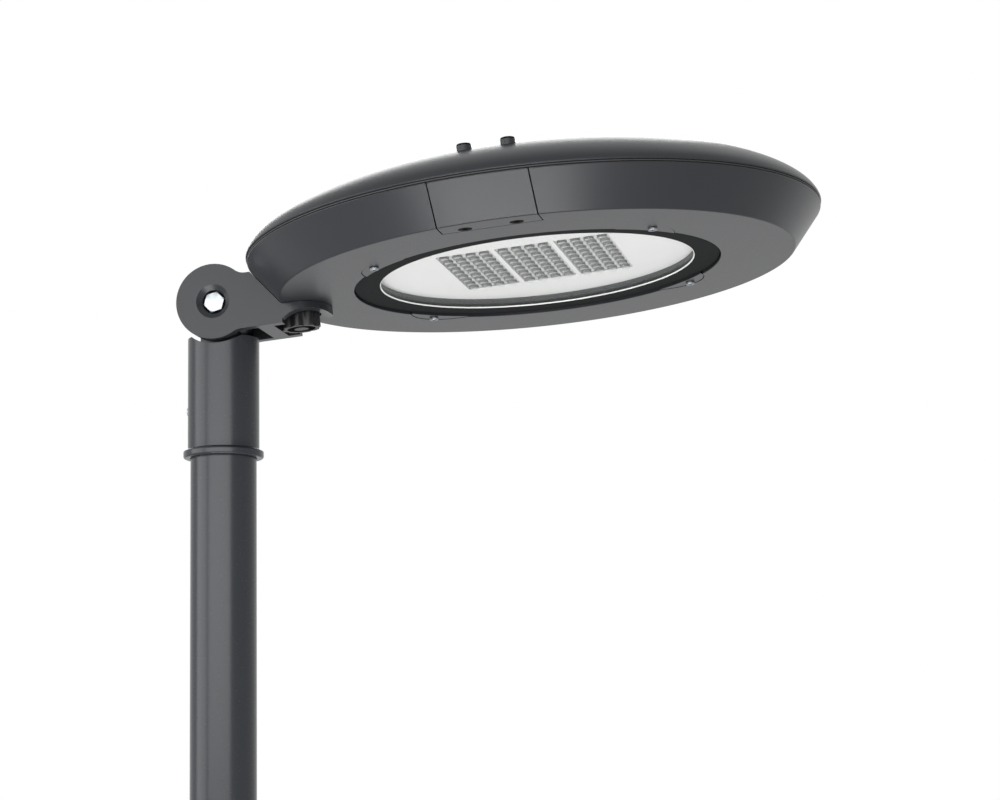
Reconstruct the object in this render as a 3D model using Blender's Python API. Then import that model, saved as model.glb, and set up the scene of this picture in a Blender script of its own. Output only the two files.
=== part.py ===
"""Street lamp post: a disc-shaped LED head on a tilting knuckle, carried by a stepped tubular post.

Metres, +Z up. The origin lies on the post's axis at ground level, the head reaches along +X and the
service door of the head and the access door of the post face -Y.
"""

import math

import bmesh
import bpy
from mathutils import Matrix

# Fits shared by all pieces
GAP = 0.0003
HOLE_PLAY = 0.0004
LID_PLAY = 0.0005

# Facets of the round pieces, from the head down to its screws
HEAD_SEGMENTS = 52
TUBE_SEGMENTS = 28
SMALL_SEGMENTS = 12
SCREW_SEGMENTS = 8
EAR_SEGMENTS = 20
KNUCKLE_SEGMENTS = 20

# Post
AXIS_HEIGHT = 3.5
POST_RADIUS = 0.030
POST_WALL = 0.003
BASE_TUBE_RADIUS = 0.05715
BASE_TUBE_WALL = 0.004
BASE_TUBE_TOP = 1.0
STEP_HEIGHT = 0.075
STEP_LIP = 0.0025
SHAFT_INSERT = 0.06

# Base plate with its anchor slots, cable entries and gussets
PLATE_SIDE = 0.40
PLATE_THICK = 0.016
PLATE_CORNER = 0.03
ANCHOR_PITCH = 0.28
SLOT_WIDTH = 0.024
SLOT_LENGTH = 0.044
ENTRY_RADIUS = 0.017
ENTRY_WEB = 0.018
GUSSET_HEIGHT = 0.09
GUSSET_REACH = 0.06
GUSSET_THICK = 0.008

# Access door in the base tube
ACCESS_LOW = 0.45
ACCESS_HEIGHT = 0.40
ACCESS_WIDTH = 0.084
ACCESS_CORNER = 0.018
ACCESS_PLAY = 0.0012
HOOK_WIDTH = 0.05
HOOK_DROP = 0.018
HOOK_LAP = 0.03
HOOK_THICK = 0.003
LOCK_RADIUS = 0.010
LOCK_BELOW_EDGE = 0.019
LOCK_DEPTH = 0.018
KEY_RADIUS = 0.0055
KEY_DEPTH = 0.006
CAM_LENGTH = 0.027
CAM_WIDTH = 0.011
CAM_THICK = 0.003

# Fuse board in the base compartment
BOARD_WIDTH = 0.060
BOARD_THICK = 0.010
BOARD_HEIGHT = 0.30
CUTOUT_WIDTH = 0.052
CUTOUT_DEPTH = 0.034
CUTOUT_HEIGHT = 0.14
EARTH_HEIGHT = 0.40
EARTH_RADIUS = 0.004
EARTH_LENGTH = 0.024
EARTH_NUT_ACROSS = 0.013
EARTH_NUT_THICK = 0.006

# Sleeve on the post top, measured down from the tilt axis
SLEEVE_WALL = 0.0022
SLEEVE_PLAY = 0.0003
SLEEVE_TOP = 0.0295
SLEEVE_ROOF = 0.0205
SLEEVE_BOTTOM = 0.132
COLLAR_PROUD = 0.004
COLLAR_HEIGHT = 0.0072
COLLAR_ROUND = 0.002
GRUB_DROP = 0.095
GRUB_RADIUS = 0.004
GRUB_PROUD = 0.0015
CABLE_EXIT_DEPTH = 0.008
CABLE_EXIT_WIDTH = 0.016
CABLE_EXIT_LAND = 0.002

# Tilt knuckle
TILT = math.radians(5.0)
HUB_RADIUS = 0.0345
SADDLE_PLAY = 0.0033
CHEEK_OUTER = 0.0355
CHEEK_INNER = 0.0225
CHEEK_ROUND = 0.0045
TONGUE_RADIUS = 0.028
STEM_HALF = 0.016
DISC_THICK = 0.002
DISC_RADIUS = 0.022
BOLT_RADIUS = 0.005
BOLT_HEAD_ACROSS = 0.017
BOLT_HEAD_HEIGHT = 0.0048
BOLT_HEAD_TURN = math.radians(10.0)
WASHER_THICK = 0.0015
FUNNEL_MOUTH = 0.0163
FUNNEL_CONE = 0.004
FUNNEL_DEPTH = 0.0105
FUNNEL_PLAY = 0.001

# Neck arm under the head
NECK_TOP = 0.0223
NECK_DEPTH = 0.0285
NECK_TIP_ROUND = 0.030
NECK_FILLET_TOP = 0.014
NECK_FILLET_LOW = 0.020
NECK_WALL = 0.0095
NECK_WEB = 0.0035
NECK_OVERLAP = 0.0390
BAR_WIDTH = 0.0145
BAR_THICK = 0.008
BAR_PLAY = 0.0008
KNOB_RADIUS = 0.018
KNOB_HEIGHT = 0.0148
KNOB_FLUTES = 8
KNOB_FLUTE_DEPTH = 0.0028
KNOB_RIM = 0.0022
KNOB_BOSS = 0.0065
KNOB_HOLLOW = 0.007
KNOB_INSET = 0.0105
STUD_RADIUS = 0.004
STUD_REACH = 0.0095
SCOOP_TOP = 0.0167
SCOOP_RADIUS = 0.040
SCOOP_OFFSET = 0.0157
SCOOP_START = 0.0083

# Head body: a flaring round pan, measured up from its flat underside
RIM_WIDTH = 0.050
HEAD_FLARE = 0.0272
BODY_HEIGHT = 0.034
BODY_EDGE = 0.0015
BODY_FLOOR = 0.004
BODY_WALL = 0.0045
NECK_LENGTH = 0.0336
HEAD_DROP = 0.0105
SEAM = 0.002
GASKET_WIDTH = 0.0045
GASKET_INSET = 0.001

# Domed cover and its four screws
DOME_HEIGHT = 0.058
DOME_POWER = 2.4
DOME_ROOT = 1.75
DOME_STEPS = 7
COVER_WALL = 0.003
COVER_SCREW_SPREAD = 0.0187
COVER_SCREW_SHIFT = 0.0037
COVER_SCREW_INSET = 0.0402
COVER_SCREW_HEAD = 0.0060
COVER_SCREW_HEIGHT = 0.0014
COVER_SCREW_RADIUS = 0.0025
COVER_PAD_RADIUS = 0.0063
COVER_PAD_PROUD = 0.0025
PILLAR_RADIUS = 0.004
PILLAR_PLAY = 0.0035

# Window in the underside: frame, glass and gasket
WINDOW_RADIUS = 0.1435
FRAME_WIDTH = 0.022
FRAME_RECESS = 0.0026
FRAME_LIP = 0.0013
GLASS_SEAT = 0.0075
GLASS_THICK = 0.003
GLASS_GASKET_THICK = 0.0008
GLASS_GASKET_WIDTH = 0.006
EAR_RADIUS = 0.0383
EAR_REACH = 0.0125
EAR_SCREW_INSET = 0.006
EAR_ANGLE = math.radians(44.5)
EAR_PLAY = 0.0006
EAR_ROOT = 0.0015
FRAME_SCREW_RADIUS = 0.002
FRAME_SCREW_HEAD = 0.0042
FRAME_SCREW_HEIGHT = 0.0022
FRAME_SCREW_LENGTH = 0.009
RING_LAND = 0.0045

# Light engine above the glass
REFLECTOR_HEIGHT = 0.0120
REFLECTOR_THICK = 0.0012
REFLECTOR_PLAY = 0.0005
STRIPS = 3
STRIP_PITCH = 0.053
STRIP_WIDTH = 0.048
STRIP_LENGTH = 0.147
LENS_COLUMNS = 4
LENS_ROWS = 9
LENS_HEIGHT = 0.0036
LENS_INSET = 0.0009
LENS_CROWN = 0.45
BOARD_LAP = 0.002
LED_BOARD_THICK = 0.0016
SPREADER_THICK = 0.004
SPREADER_LAP = 0.0165

# Gear above the heat spreader
TRAY_LENGTH = 0.24
TRAY_WIDTH = 0.12
TRAY_FOLD = 0.012
TRAY_SHEET = 0.002
DRIVER_LENGTH = 0.150
DRIVER_WIDTH = 0.085
DRIVER_HEIGHT = 0.032
SURGE_LENGTH = 0.050
SURGE_WIDTH = 0.040
SURGE_HEIGHT = 0.026
GEAR_SPACE = 0.012
GEAR_EDGE = 0.003

# Service door in the head's side
DOOR_HALF_WIDTH = 0.043
DOOR_LIP_DEPTH = 0.0265
DOOR_LIP_THICK = 0.0032
DOOR_SCREW_SPREAD = 0.022
DOOR_SCREW_INSET = 0.0195
DOOR_SCREW_HEAD = 0.0056
DOOR_SCREW_SINK = 0.0020
DOOR_SCREW_RADIUS = 0.0022
SHELF_TOP = 0.009
SHELF_SET_BACK = 0.0090
TERMINAL_LENGTH = 0.024
TERMINAL_DEPTH = 0.018
TERMINAL_HEIGHT = 0.015
TERMINAL_POLES = 3

# Values that follow from the sizes above
SEAM_TOP = BODY_HEIGHT + SEAM
RECESS_RADIUS = WINDOW_RADIUS + FRAME_WIDTH
GLASS_LOW = FRAME_RECESS + FRAME_LIP + GAP
FLANGE_LOW = GLASS_LOW + GLASS_THICK + GLASS_GASKET_THICK + 2 * GAP
LED_BOARD_LOW = REFLECTOR_HEIGHT + REFLECTOR_THICK + GAP
SPREADER_LOW = LED_BOARD_LOW + LED_BOARD_THICK + GAP
FLANGE_TOP = SPREADER_LOW - GAP
TRAY_LOW = SPREADER_LOW + SPREADER_THICK + GAP
RING_OUTER = RECESS_RADIUS + EAR_REACH + RING_LAND
FOOT_RADIUS = RING_OUTER + RIM_WIDTH
HEAD_RADIUS = FOOT_RADIUS + HEAD_FLARE
HEAD_REACH = HEAD_RADIUS + NECK_LENGTH
EAR_CENTRE = RECESS_RADIUS + EAR_REACH - EAR_RADIUS
EAR_SCREW_AT = RECESS_RADIUS + EAR_REACH - EAR_SCREW_INSET
DOOR_EDGE = FOOT_RADIUS - DOOR_LIP_DEPTH
DOOR_SCREW_AT = FOOT_RADIUS - DOOR_SCREW_INSET
COVER_SCREW_AT = HEAD_RADIUS - COVER_SCREW_INSET
SHELF_EDGE = FOOT_RADIUS - SHELF_SET_BACK
KNOB_X = NECK_LENGTH + HEAD_FLARE + KNOB_INSET
NECK_TIP = NECK_LENGTH + HEAD_FLARE + NECK_OVERLAP
WEB_UNDER = -(HEAD_DROP + GAP + NECK_WEB)
KNOB_TOP = WEB_UNDER - GAP
BASE_INNER = BASE_TUBE_RADIUS - BASE_TUBE_WALL
SLEEVE_RADIUS = POST_RADIUS + SLEEVE_PLAY + SLEEVE_WALL
COLLAR_RADIUS = SLEEVE_RADIUS + COLLAR_PROUD
SPIGOT_LOW = AXIS_HEIGHT - SLEEVE_BOTTOM - GAP - COLLAR_HEIGHT / 2
FUNNEL_BORE = BOLT_HEAD_ACROSS / math.sqrt(3) + FUNNEL_PLAY
WASHER_RADIUS = FUNNEL_BORE - HOLE_PLAY
SADDLE_RADIUS = HUB_RADIUS + SADDLE_PLAY
SHAFT_TOP = AXIS_HEIGHT - SLEEVE_TOP - SLEEVE_ROOF - GAP
TONGUE_HALF = CHEEK_INNER - DISC_THICK - 2 * GAP

# Frame that swaps Y and Z, for pieces drawn in the XZ plane and given depth along Y
SIDEWAYS = Matrix(((1, 0, 0, 0), (0, 0, 1, 0), (0, 1, 0, 0), (0, 0, 0, 1)))


def material(name, colour, roughness, metallic=0.0):
    """A Principled finish, made once and shared by the pieces that have it."""
    found = bpy.data.materials.get(name)
    if found:
        return found
    made = bpy.data.materials.new(name)
    made.use_nodes = True
    shader = made.node_tree.nodes["Principled BSDF"]
    linear = [(c / 12.92) if c <= 0.04045 else ((c + 0.055) / 1.055) ** 2.4 for c in colour]
    shader.inputs["Base Color"].default_value = (*linear, 1.0)
    shader.inputs["Roughness"].default_value = roughness
    shader.inputs["Metallic"].default_value = metallic
    made.diffuse_color = (*linear, 1.0)
    return made


def powder_coat():
    return material("anthracite_powder_coat", (0.27, 0.275, 0.285), 0.45, 0.2)


def galvanised():
    return material("galvanised_steel", (0.62, 0.63, 0.64), 0.45, 0.9)


def bright_zinc():
    return material("bright_zinc", (0.86, 0.87, 0.88), 0.25, 1.0)


def black_rubber():
    return material("black_rubber", (0.05, 0.05, 0.055), 0.7)


def black_nylon():
    return material("black_nylon", (0.07, 0.07, 0.075), 0.5)


def bare_aluminium():
    return material("bare_aluminium", (0.75, 0.76, 0.78), 0.4, 0.9)


def white_paint():
    return material("white_paint", (0.9, 0.9, 0.89), 0.5)


def clear_glass():
    return material("clear_glass", (0.93, 0.96, 0.95), 0.05)


def clear_acrylic():
    return material("clear_acrylic", (0.95, 0.95, 0.95), 0.1)


def grey_plastic():
    return material("grey_plastic", (0.55, 0.56, 0.57), 0.5)


def empty(name, location=(0, 0, 0), parent=None, turn_y=0.0):
    made = bpy.data.objects.new(name, None)
    bpy.context.scene.collection.objects.link(made)
    made.parent = parent
    made.location = location
    made.rotation_euler = (0, turn_y, 0)
    return made


def solid(bm, name, finish, parent=None, location=(0, 0, 0), turn=(0, 0, 0)):
    """Turns a bmesh into a named object, shaded smooth up to its sharp edges."""
    bmesh.ops.recalc_face_normals(bm, faces=bm.faces)
    mesh = bpy.data.meshes.new(name)
    bm.to_mesh(mesh)
    bm.free()
    mesh.shade_smooth()
    mesh.set_sharp_from_angle(angle=math.radians(35))
    made = bpy.data.objects.new(name, mesh)
    bpy.context.scene.collection.objects.link(made)
    made.parent = parent
    made.location = location
    made.rotation_euler = turn
    if finish:
        made.data.materials.append(finish)
    return made


def tool(bm, target, operation, location=(0, 0, 0), turn=(0, 0, 0)):
    """A hidden shape in the target's frame that is cut from it, added to it or common to both."""
    name = f"{target.name}_{operation.lower()}_{len(target.modifiers)}"
    helper = solid(bm, name, None, target.parent, target.location, target.rotation_euler)
    helper.data.transform(Matrix.Translation(location) @ turned_by(turn))
    helper.hide_render = True
    helper.display_type = "WIRE"
    modifier = target.modifiers.new(name, "BOOLEAN")
    modifier.operation = operation
    modifier.solver = "EXACT"
    modifier.object = helper


def cut(target, bm, location=(0, 0, 0), turn=(0, 0, 0)):
    tool(bm, target, "DIFFERENCE", location, turn)


def add(target, bm, location=(0, 0, 0), turn=(0, 0, 0)):
    tool(bm, target, "UNION", location, turn)


def keep(target, bm, location=(0, 0, 0), turn=(0, 0, 0)):
    tool(bm, target, "INTERSECT", location, turn)


def turned_by(turn):
    matrix = Matrix.Identity(4)
    for angle, axis in zip(turn, "XYZ"):
        matrix = Matrix.Rotation(angle, 4, axis) @ matrix
    return matrix


def arc(centre, radius, start, end, steps):
    """Points along an arc, both ends included; angles in degrees."""
    angles = [math.radians(start + (end - start) * i / steps) for i in range(steps + 1)]
    return [(centre[0] + radius * math.cos(a), centre[1] + radius * math.sin(a)) for a in angles]


def circle(radius, segments=SMALL_SEGMENTS, centre=(0, 0), phase=0.0):
    points = arc(centre, radius, phase, phase + 360, segments)
    return points[:-1]


def rounded_rectangle(width, height, corner, centre=(0, 0), steps=4):
    x, y = width / 2 - corner, height / 2 - corner
    points = []
    for turn, (sx, sy) in enumerate(((1, 1), (-1, 1), (-1, -1), (1, -1))):
        at = (centre[0] + sx * x, centre[1] + sy * y)
        points += arc(at, corner, 90 * turn, 90 * turn + 90, steps)
    return points


def stadium(length, width, steps=6):
    half = (length - width) / 2
    return arc((half, 0), width / 2, -90, 90, steps) + arc((-half, 0), width / 2, 90, 270, steps)


def prism(outline, low, high, frame=None, bm=None):
    """An outline given depth from low to high; frame turns it out of the XY plane."""
    made = bm or bmesh.new()
    face = made.faces.new([made.verts.new((x, y, low)) for x, y in outline])
    grown = bmesh.ops.extrude_face_region(made, geom=[face])["geom"]
    top = [v for v in grown if isinstance(v, bmesh.types.BMVert)]
    bmesh.ops.translate(made, verts=top, vec=(0, 0, high - low))
    if frame:
        bmesh.ops.transform(made, matrix=frame, verts=list(face.verts) + top)
    return made


def turned(profile, segments=HEAD_SEGMENTS):
    """A profile of (radius, height) points spun about Z; its ends may lie on the axis."""
    made = bmesh.new()
    points = [made.verts.new((r, 0, z)) for r, z in profile]
    on_axis = profile[0][0] == 0 and profile[-1][0] == 0
    pairs = list(zip(points, points[1:])) + ([] if on_axis else [(points[-1], points[0])])
    edges = [made.edges.new(pair) for pair in pairs]
    bmesh.ops.spin(
        made, geom=points + edges, axis=(0, 0, 1), angle=2 * math.pi, steps=segments, use_merge=True
    )
    bmesh.ops.remove_doubles(made, verts=made.verts, dist=1e-7)
    return made


def ring(inner, outer, low, high, segments=HEAD_SEGMENTS):
    return turned([(outer, high), (outer, low), (inner, low), (inner, high)], segments)


def box(x, y, z, bm=None):
    """A block given by its (low, high) pairs."""
    outline = [(x[0], y[0]), (x[1], y[0]), (x[1], y[1]), (x[0], y[1])]
    return prism(outline, z[0], z[1], bm=bm)


def bevel_edges(bm, edges, width, steps):
    bmesh.ops.bevel(
        bm, geom=edges, offset=width, offset_type="OFFSET", segments=steps, profile=0.5, affect="EDGES",
        clamp_overlap=True,
    )


def soft_box(x, y, z, width, steps=2):
    made = box(x, y, z)
    bevel_edges(made, list(made.edges), width, steps)
    return made


def wall_radius(height):
    """Outer radius of the head's flaring side at a height above its underside."""
    return FOOT_RADIUS + HEAD_FLARE * height / BODY_HEIGHT


def dome_height(radius, inset=0.0):
    """Height of the cover's outer skin, or of its inner skin when inset is the cover's wall."""
    share = min(radius / (HEAD_RADIUS - inset), 1.0)
    return SEAM_TOP + (DOME_HEIGHT - inset) * (1 - share**DOME_POWER) ** (1 / DOME_ROOT)


def dome_points(inset, steps):
    """The dome from its crown to its rim, with the points closest together on the shoulder."""
    points = []
    for i in range(steps + 1):
        radius = (HEAD_RADIUS - inset) * math.sin(math.pi / 2 * i / steps)
        points.append((radius, dome_height(radius, inset)))
    return points


def hexagon(across, turn=0.0):
    return circle(across / math.sqrt(3), 6, phase=math.degrees(turn))


def make_base_plate():
    plate = solid(
        prism(rounded_rectangle(PLATE_SIDE, PLATE_SIDE, PLATE_CORNER), 0, PLATE_THICK), "base_plate", galvanised()
    )
    openings = bmesh.new()
    for sx in (-1, 1):
        for sy in (-1, 1):
            at = (sx * ANCHOR_PITCH / 2, sy * ANCHOR_PITCH / 2)
            slot = [(x + at[0], y + at[1]) for x, y in stadium(SLOT_LENGTH, SLOT_WIDTH)]
            prism(slot, -PLATE_THICK, 2 * PLATE_THICK, bm=openings)
    for sy in (-1, 1):
        entry = circle(ENTRY_RADIUS, centre=(0, sy * (ENTRY_RADIUS + ENTRY_WEB / 2)))
        prism(entry, -PLATE_THICK, 2 * PLATE_THICK, bm=openings)
    cut(plate, openings)
    return plate


def make_gussets():
    inner = BASE_TUBE_RADIUS + GAP
    low = PLATE_THICK + GAP
    toe = GUSSET_THICK
    outline = [
        (inner, low),
        (inner + GUSSET_REACH, low),
        (inner + GUSSET_REACH, low + toe),
        (inner + toe, low + GUSSET_HEIGHT),
        (inner, low + GUSSET_HEIGHT),
    ]
    for i in range(4):
        rib = prism(outline, -GUSSET_THICK / 2, GUSSET_THICK / 2, SIDEWAYS)
        solid(rib, f"base_gusset_{i + 1}", powder_coat(), turn=(0, 0, i * math.pi / 2))


def access_outline(play):
    middle = ACCESS_LOW + ACCESS_HEIGHT / 2
    return rounded_rectangle(
        ACCESS_WIDTH - 2 * play, ACCESS_HEIGHT - 2 * play, ACCESS_CORNER - play, centre=(0, middle)
    )


def make_base_tube():
    tube = solid(
        ring(BASE_INNER, BASE_TUBE_RADIUS, PLATE_THICK + GAP, BASE_TUBE_TOP, TUBE_SEGMENTS),
        "base_tube",
        powder_coat(),
    )
    cut(tube, prism(access_outline(0), -2 * BASE_TUBE_RADIUS, 0, SIDEWAYS))
    return tube


def make_base_door():
    """Flush curved door with a hook that reaches behind the lower edge of its opening."""
    hinge = empty("base_door_pivot", (0, -BASE_TUBE_RADIUS, ACCESS_LOW))
    shift = (0, BASE_TUBE_RADIUS, -ACCESS_LOW)
    panel = solid(
        ring(BASE_INNER, BASE_TUBE_RADIUS, ACCESS_LOW / 2, BASE_TUBE_TOP, TUBE_SEGMENTS),
        "base_door",
        powder_coat(),
        hinge,
    )
    panel.data.transform(Matrix.Translation(shift))
    keep(panel, prism(access_outline(ACCESS_PLAY), -2 * BASE_TUBE_RADIUS, 0, SIDEWAYS), shift)
    half = HOOK_WIDTH / 2
    lap_low = ACCESS_LOW + 2 * ACCESS_PLAY
    lap_high = ACCESS_LOW + HOOK_LAP
    outer = BASE_INNER - GAP - BASE_TUBE_RADIUS * (1 - math.cos(math.pi / TUBE_SEGMENTS))
    sagitta = outer - math.sqrt(outer**2 - half**2)
    back = -(outer - sagitta) + HOOK_THICK
    hook = box((-half, half), (-outer, back), (ACCESS_LOW - HOOK_DROP, lap_high))
    round_off = turned([(0, BASE_TUBE_TOP), (outer, BASE_TUBE_TOP), (outer, 0), (0, 0)], TUBE_SEGMENTS)
    hook_plate = solid(hook, "base_door_hook", None, hinge)
    hook_plate.data.transform(Matrix.Translation(shift))
    keep(hook_plate, round_off, shift)
    hook_plate.hide_render = True
    hook_plate.display_type = "WIRE"
    bridge = box((-half, half), (-(BASE_INNER + BASE_TUBE_WALL / 2), back), (lap_low, lap_high))
    add(panel, bridge, shift)
    joined = panel.modifiers.new("hook", "BOOLEAN")
    joined.operation = "UNION"
    joined.solver = "EXACT"
    joined.object = hook_plate
    lock_height = ACCESS_LOW + ACCESS_HEIGHT - LOCK_BELOW_EDGE
    bore = prism(circle(LOCK_RADIUS + HOLE_PLAY, centre=(0, lock_height)), -2 * BASE_TUBE_RADIUS, 0, SIDEWAYS)
    cut(panel, bore, shift)
    make_base_lock(hinge, lock_height - ACCESS_LOW)
    return panel


def make_base_lock(hinge, height):
    """Triangular-key lock: a barrel in the door with a cam behind it, shown open."""
    face = GAP
    lock = solid(
        prism(circle(LOCK_RADIUS), face, LOCK_DEPTH, SIDEWAYS), "base_door_lock", bright_zinc(), hinge, (0, 0, height)
    )
    cut(lock, prism(circle(KEY_RADIUS, 3, phase=90), -KEY_DEPTH, KEY_DEPTH, SIDEWAYS))
    half = CAM_WIDTH / 2
    cam = arc((CAM_LENGTH - half, 0), half, -90, 90, 6) + [(-half, half), (-half, -half)]
    add(lock, prism(cam, LOCK_DEPTH - CAM_THICK, LOCK_DEPTH + GAP, SIDEWAYS))
    return lock


def make_fuse_board():
    half = BOARD_WIDTH / 2
    back = math.sqrt(BASE_INNER**2 - half**2) - 2 * GAP
    low = ACCESS_LOW + (ACCESS_HEIGHT - BOARD_HEIGHT) / 2
    front = back - BOARD_THICK
    board = solid(
        box((-half, half), (front, back), (low, low + BOARD_HEIGHT)), "fuse_board", grey_plastic()
    )
    middle = low + BOARD_HEIGHT / 2
    body = soft_box(
        (-CUTOUT_WIDTH / 2, CUTOUT_WIDTH / 2),
        (front - GAP - CUTOUT_DEPTH, front - GAP),
        (middle - CUTOUT_HEIGHT / 2, middle + CUTOUT_HEIGHT / 2),
        GEAR_EDGE,
    )
    solid(body, "fuse_cutout", black_nylon())
    return board


def make_earth_stud():
    """Earth terminal on the tube's inner wall below the access door."""
    root = BASE_INNER - 2 * GAP
    stud = solid(
        prism(circle(EARTH_RADIUS), root - EARTH_LENGTH, root, SIDEWAYS), "earth_stud", bright_zinc(), None,
        (0, 0, EARTH_HEIGHT),
    )
    nut_back = root - EARTH_LENGTH / 2
    add(stud, prism(hexagon(EARTH_NUT_ACROSS), nut_back - EARTH_NUT_THICK, nut_back, SIDEWAYS))
    return stud


def make_step_cone():
    """Swaged shoulder from the base tube to the shaft."""
    low = BASE_TUBE_TOP + GAP
    bore = POST_RADIUS + GAP
    steps = 6
    profile = []
    for i in range(steps, -1, -1):
        share = i / steps
        swell = 0.5 + 0.5 * math.cos(math.pi * share)
        profile.append((bore + STEP_LIP + (BASE_TUBE_RADIUS - bore - STEP_LIP) * swell, low + STEP_HEIGHT * share))
    profile += [(bore, low), (bore, low + STEP_HEIGHT)]
    return solid(turned(profile, TUBE_SEGMENTS), "step_cone", powder_coat())


def make_post_shaft():
    low = BASE_TUBE_TOP - SHAFT_INSERT
    inner = POST_RADIUS - POST_WALL
    solid(ring(inner, POST_RADIUS, SPIGOT_LOW, SHAFT_TOP, TUBE_SEGMENTS), "post_spigot", powder_coat())
    return solid(ring(inner, POST_RADIUS, low, SPIGOT_LOW - GAP, TUBE_SEGMENTS), "post_shaft", powder_coat())


def make_sleeve(axis):
    """Sleeve over the post top with a hollowed saddle and a tongue that stands between the cheeks."""
    bore = POST_RADIUS + SLEEVE_PLAY
    roof = -SLEEVE_TOP - SLEEVE_ROOF
    profile = [
        (0, -SLEEVE_TOP), (SLEEVE_RADIUS, -SLEEVE_TOP), (SLEEVE_RADIUS, -SLEEVE_BOTTOM), (bore, -SLEEVE_BOTTOM),
        (bore, roof), (0, roof),
    ]
    sleeve = solid(turned(profile, TUBE_SEGMENTS), "post_sleeve", powder_coat(), axis)
    saddle = circle(SADDLE_RADIUS, HEAD_SEGMENTS)
    cut(sleeve, prism(saddle, -2 * SLEEVE_RADIUS, 2 * SLEEVE_RADIUS, SIDEWAYS))
    drop = math.degrees(math.acos(STEM_HALF / TONGUE_RADIUS))
    root = roof + SLEEVE_ROOF / 4
    tongue = [(-STEM_HALF, root), (STEM_HALF, root)] + arc((0, 0), TONGUE_RADIUS, -drop, 180 + drop, KNUCKLE_SEGMENTS)
    add(sleeve, prism(tongue, -TONGUE_HALF, TONGUE_HALF, SIDEWAYS))
    bolt = circle(BOLT_RADIUS + HOLE_PLAY)
    cut(sleeve, prism(bolt, -2 * TONGUE_HALF, 2 * TONGUE_HALF, SIDEWAYS))
    exit_start = STEM_HALF + CABLE_EXIT_LAND
    exit_end = exit_start + CABLE_EXIT_DEPTH
    exit_top = HOLE_PLAY - math.sqrt(SADDLE_RADIUS**2 - exit_end**2)
    exit_half = CABLE_EXIT_WIDTH / 2
    cut(sleeve, box((exit_start, exit_end), (-exit_half, exit_half), (roof - GAP - HOLE_PLAY, exit_top)))
    grub_holes = bmesh.new()
    for turn in grub_turns():
        prism(circle(GRUB_RADIUS + HOLE_PLAY), POST_RADIUS / 2, 2 * SLEEVE_RADIUS, grub_frame(turn), grub_holes)
    cut(sleeve, grub_holes)
    return sleeve


def grub_turns():
    return (0.0, math.pi / 2)


def grub_frame(turn):
    """Lays a prism along the radius, turned from +Y about the post."""
    return Matrix.Translation((0, 0, -GRUB_DROP)) @ Matrix.Rotation(turn, 4, "Z") @ SIDEWAYS


def make_sleeve_fittings(axis):
    bore = POST_RADIUS + SLEEVE_PLAY
    top = -SLEEVE_BOTTOM - GAP
    low = top - COLLAR_HEIGHT
    side = COLLAR_RADIUS - COLLAR_ROUND
    profile = arc((side, top - COLLAR_ROUND), COLLAR_ROUND, 90, 0, 2)
    profile += arc((side, low + COLLAR_ROUND), COLLAR_ROUND, 0, -90, 2)
    profile += [(bore, low), (bore, top)]
    solid(turned(profile, TUBE_SEGMENTS), "sleeve_collar", powder_coat(), axis)
    for i, turn in enumerate(grub_turns()):
        screw = prism(circle(GRUB_RADIUS), POST_RADIUS + GAP, SLEEVE_RADIUS + GRUB_PROUD, grub_frame(turn))
        solid(screw, f"sleeve_grub_screw_{i + 1}", bright_zinc(), axis)
    for i, side in enumerate((-1, 1)):
        near = side * (TONGUE_HALF + GAP)
        far = side * (TONGUE_HALF + GAP + DISC_THICK)
        disc = ring(BOLT_RADIUS + HOLE_PLAY, DISC_RADIUS, min(near, far), max(near, far), KNUCKLE_SEGMENTS)
        bmesh.ops.transform(disc, matrix=SIDEWAYS, verts=disc.verts)
        solid(disc, f"friction_disc_{i + 1}", bare_aluminium(), axis)


def make_tilt_bolt(pivot):
    """Bolt, nut and washers of the knuckle, seated in the funnels of the cheeks."""
    floor = CHEEK_OUTER - FUNNEL_DEPTH
    seat = floor + GAP + WASHER_THICK + GAP
    bolt = solid(
        prism(hexagon(BOLT_HEAD_ACROSS, BOLT_HEAD_TURN), -seat - BOLT_HEAD_HEIGHT, -seat, SIDEWAYS),
        "tilt_bolt",
        bright_zinc(),
        pivot,
    )
    nut_end = seat + BOLT_HEAD_HEIGHT
    add(bolt, prism(circle(BOLT_RADIUS), -seat - BOLT_HEAD_HEIGHT / 2, nut_end + BOLT_RADIUS / 4, SIDEWAYS))
    nut = solid(prism(hexagon(BOLT_HEAD_ACROSS), seat, nut_end, SIDEWAYS), "tilt_nut", bright_zinc(), pivot)
    cut(nut, prism(circle(BOLT_RADIUS + GAP), 0, 2 * nut_end, SIDEWAYS))
    for i, side in enumerate((-1, 1)):
        ends = sorted((side * (floor + GAP), side * (floor + GAP + WASHER_THICK)))
        washer = ring(BOLT_RADIUS + HOLE_PLAY, WASHER_RADIUS, ends[0], ends[1], KNUCKLE_SEGMENTS)
        bmesh.ops.transform(washer, matrix=SIDEWAYS, verts=washer.verts)
        solid(washer, f"tilt_washer_{i + 1}", bright_zinc(), pivot)
    return bolt


def level_fillet(level, radius):
    """Arc that leads from the hub's circle into a level edge: its centre and the angle where it leaves the hub."""
    side = math.copysign(1, level)
    height = level + side * radius
    x = math.sqrt((HUB_RADIUS + radius) ** 2 - height**2)
    return (x, height), math.degrees(math.atan2(height, x))


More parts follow.
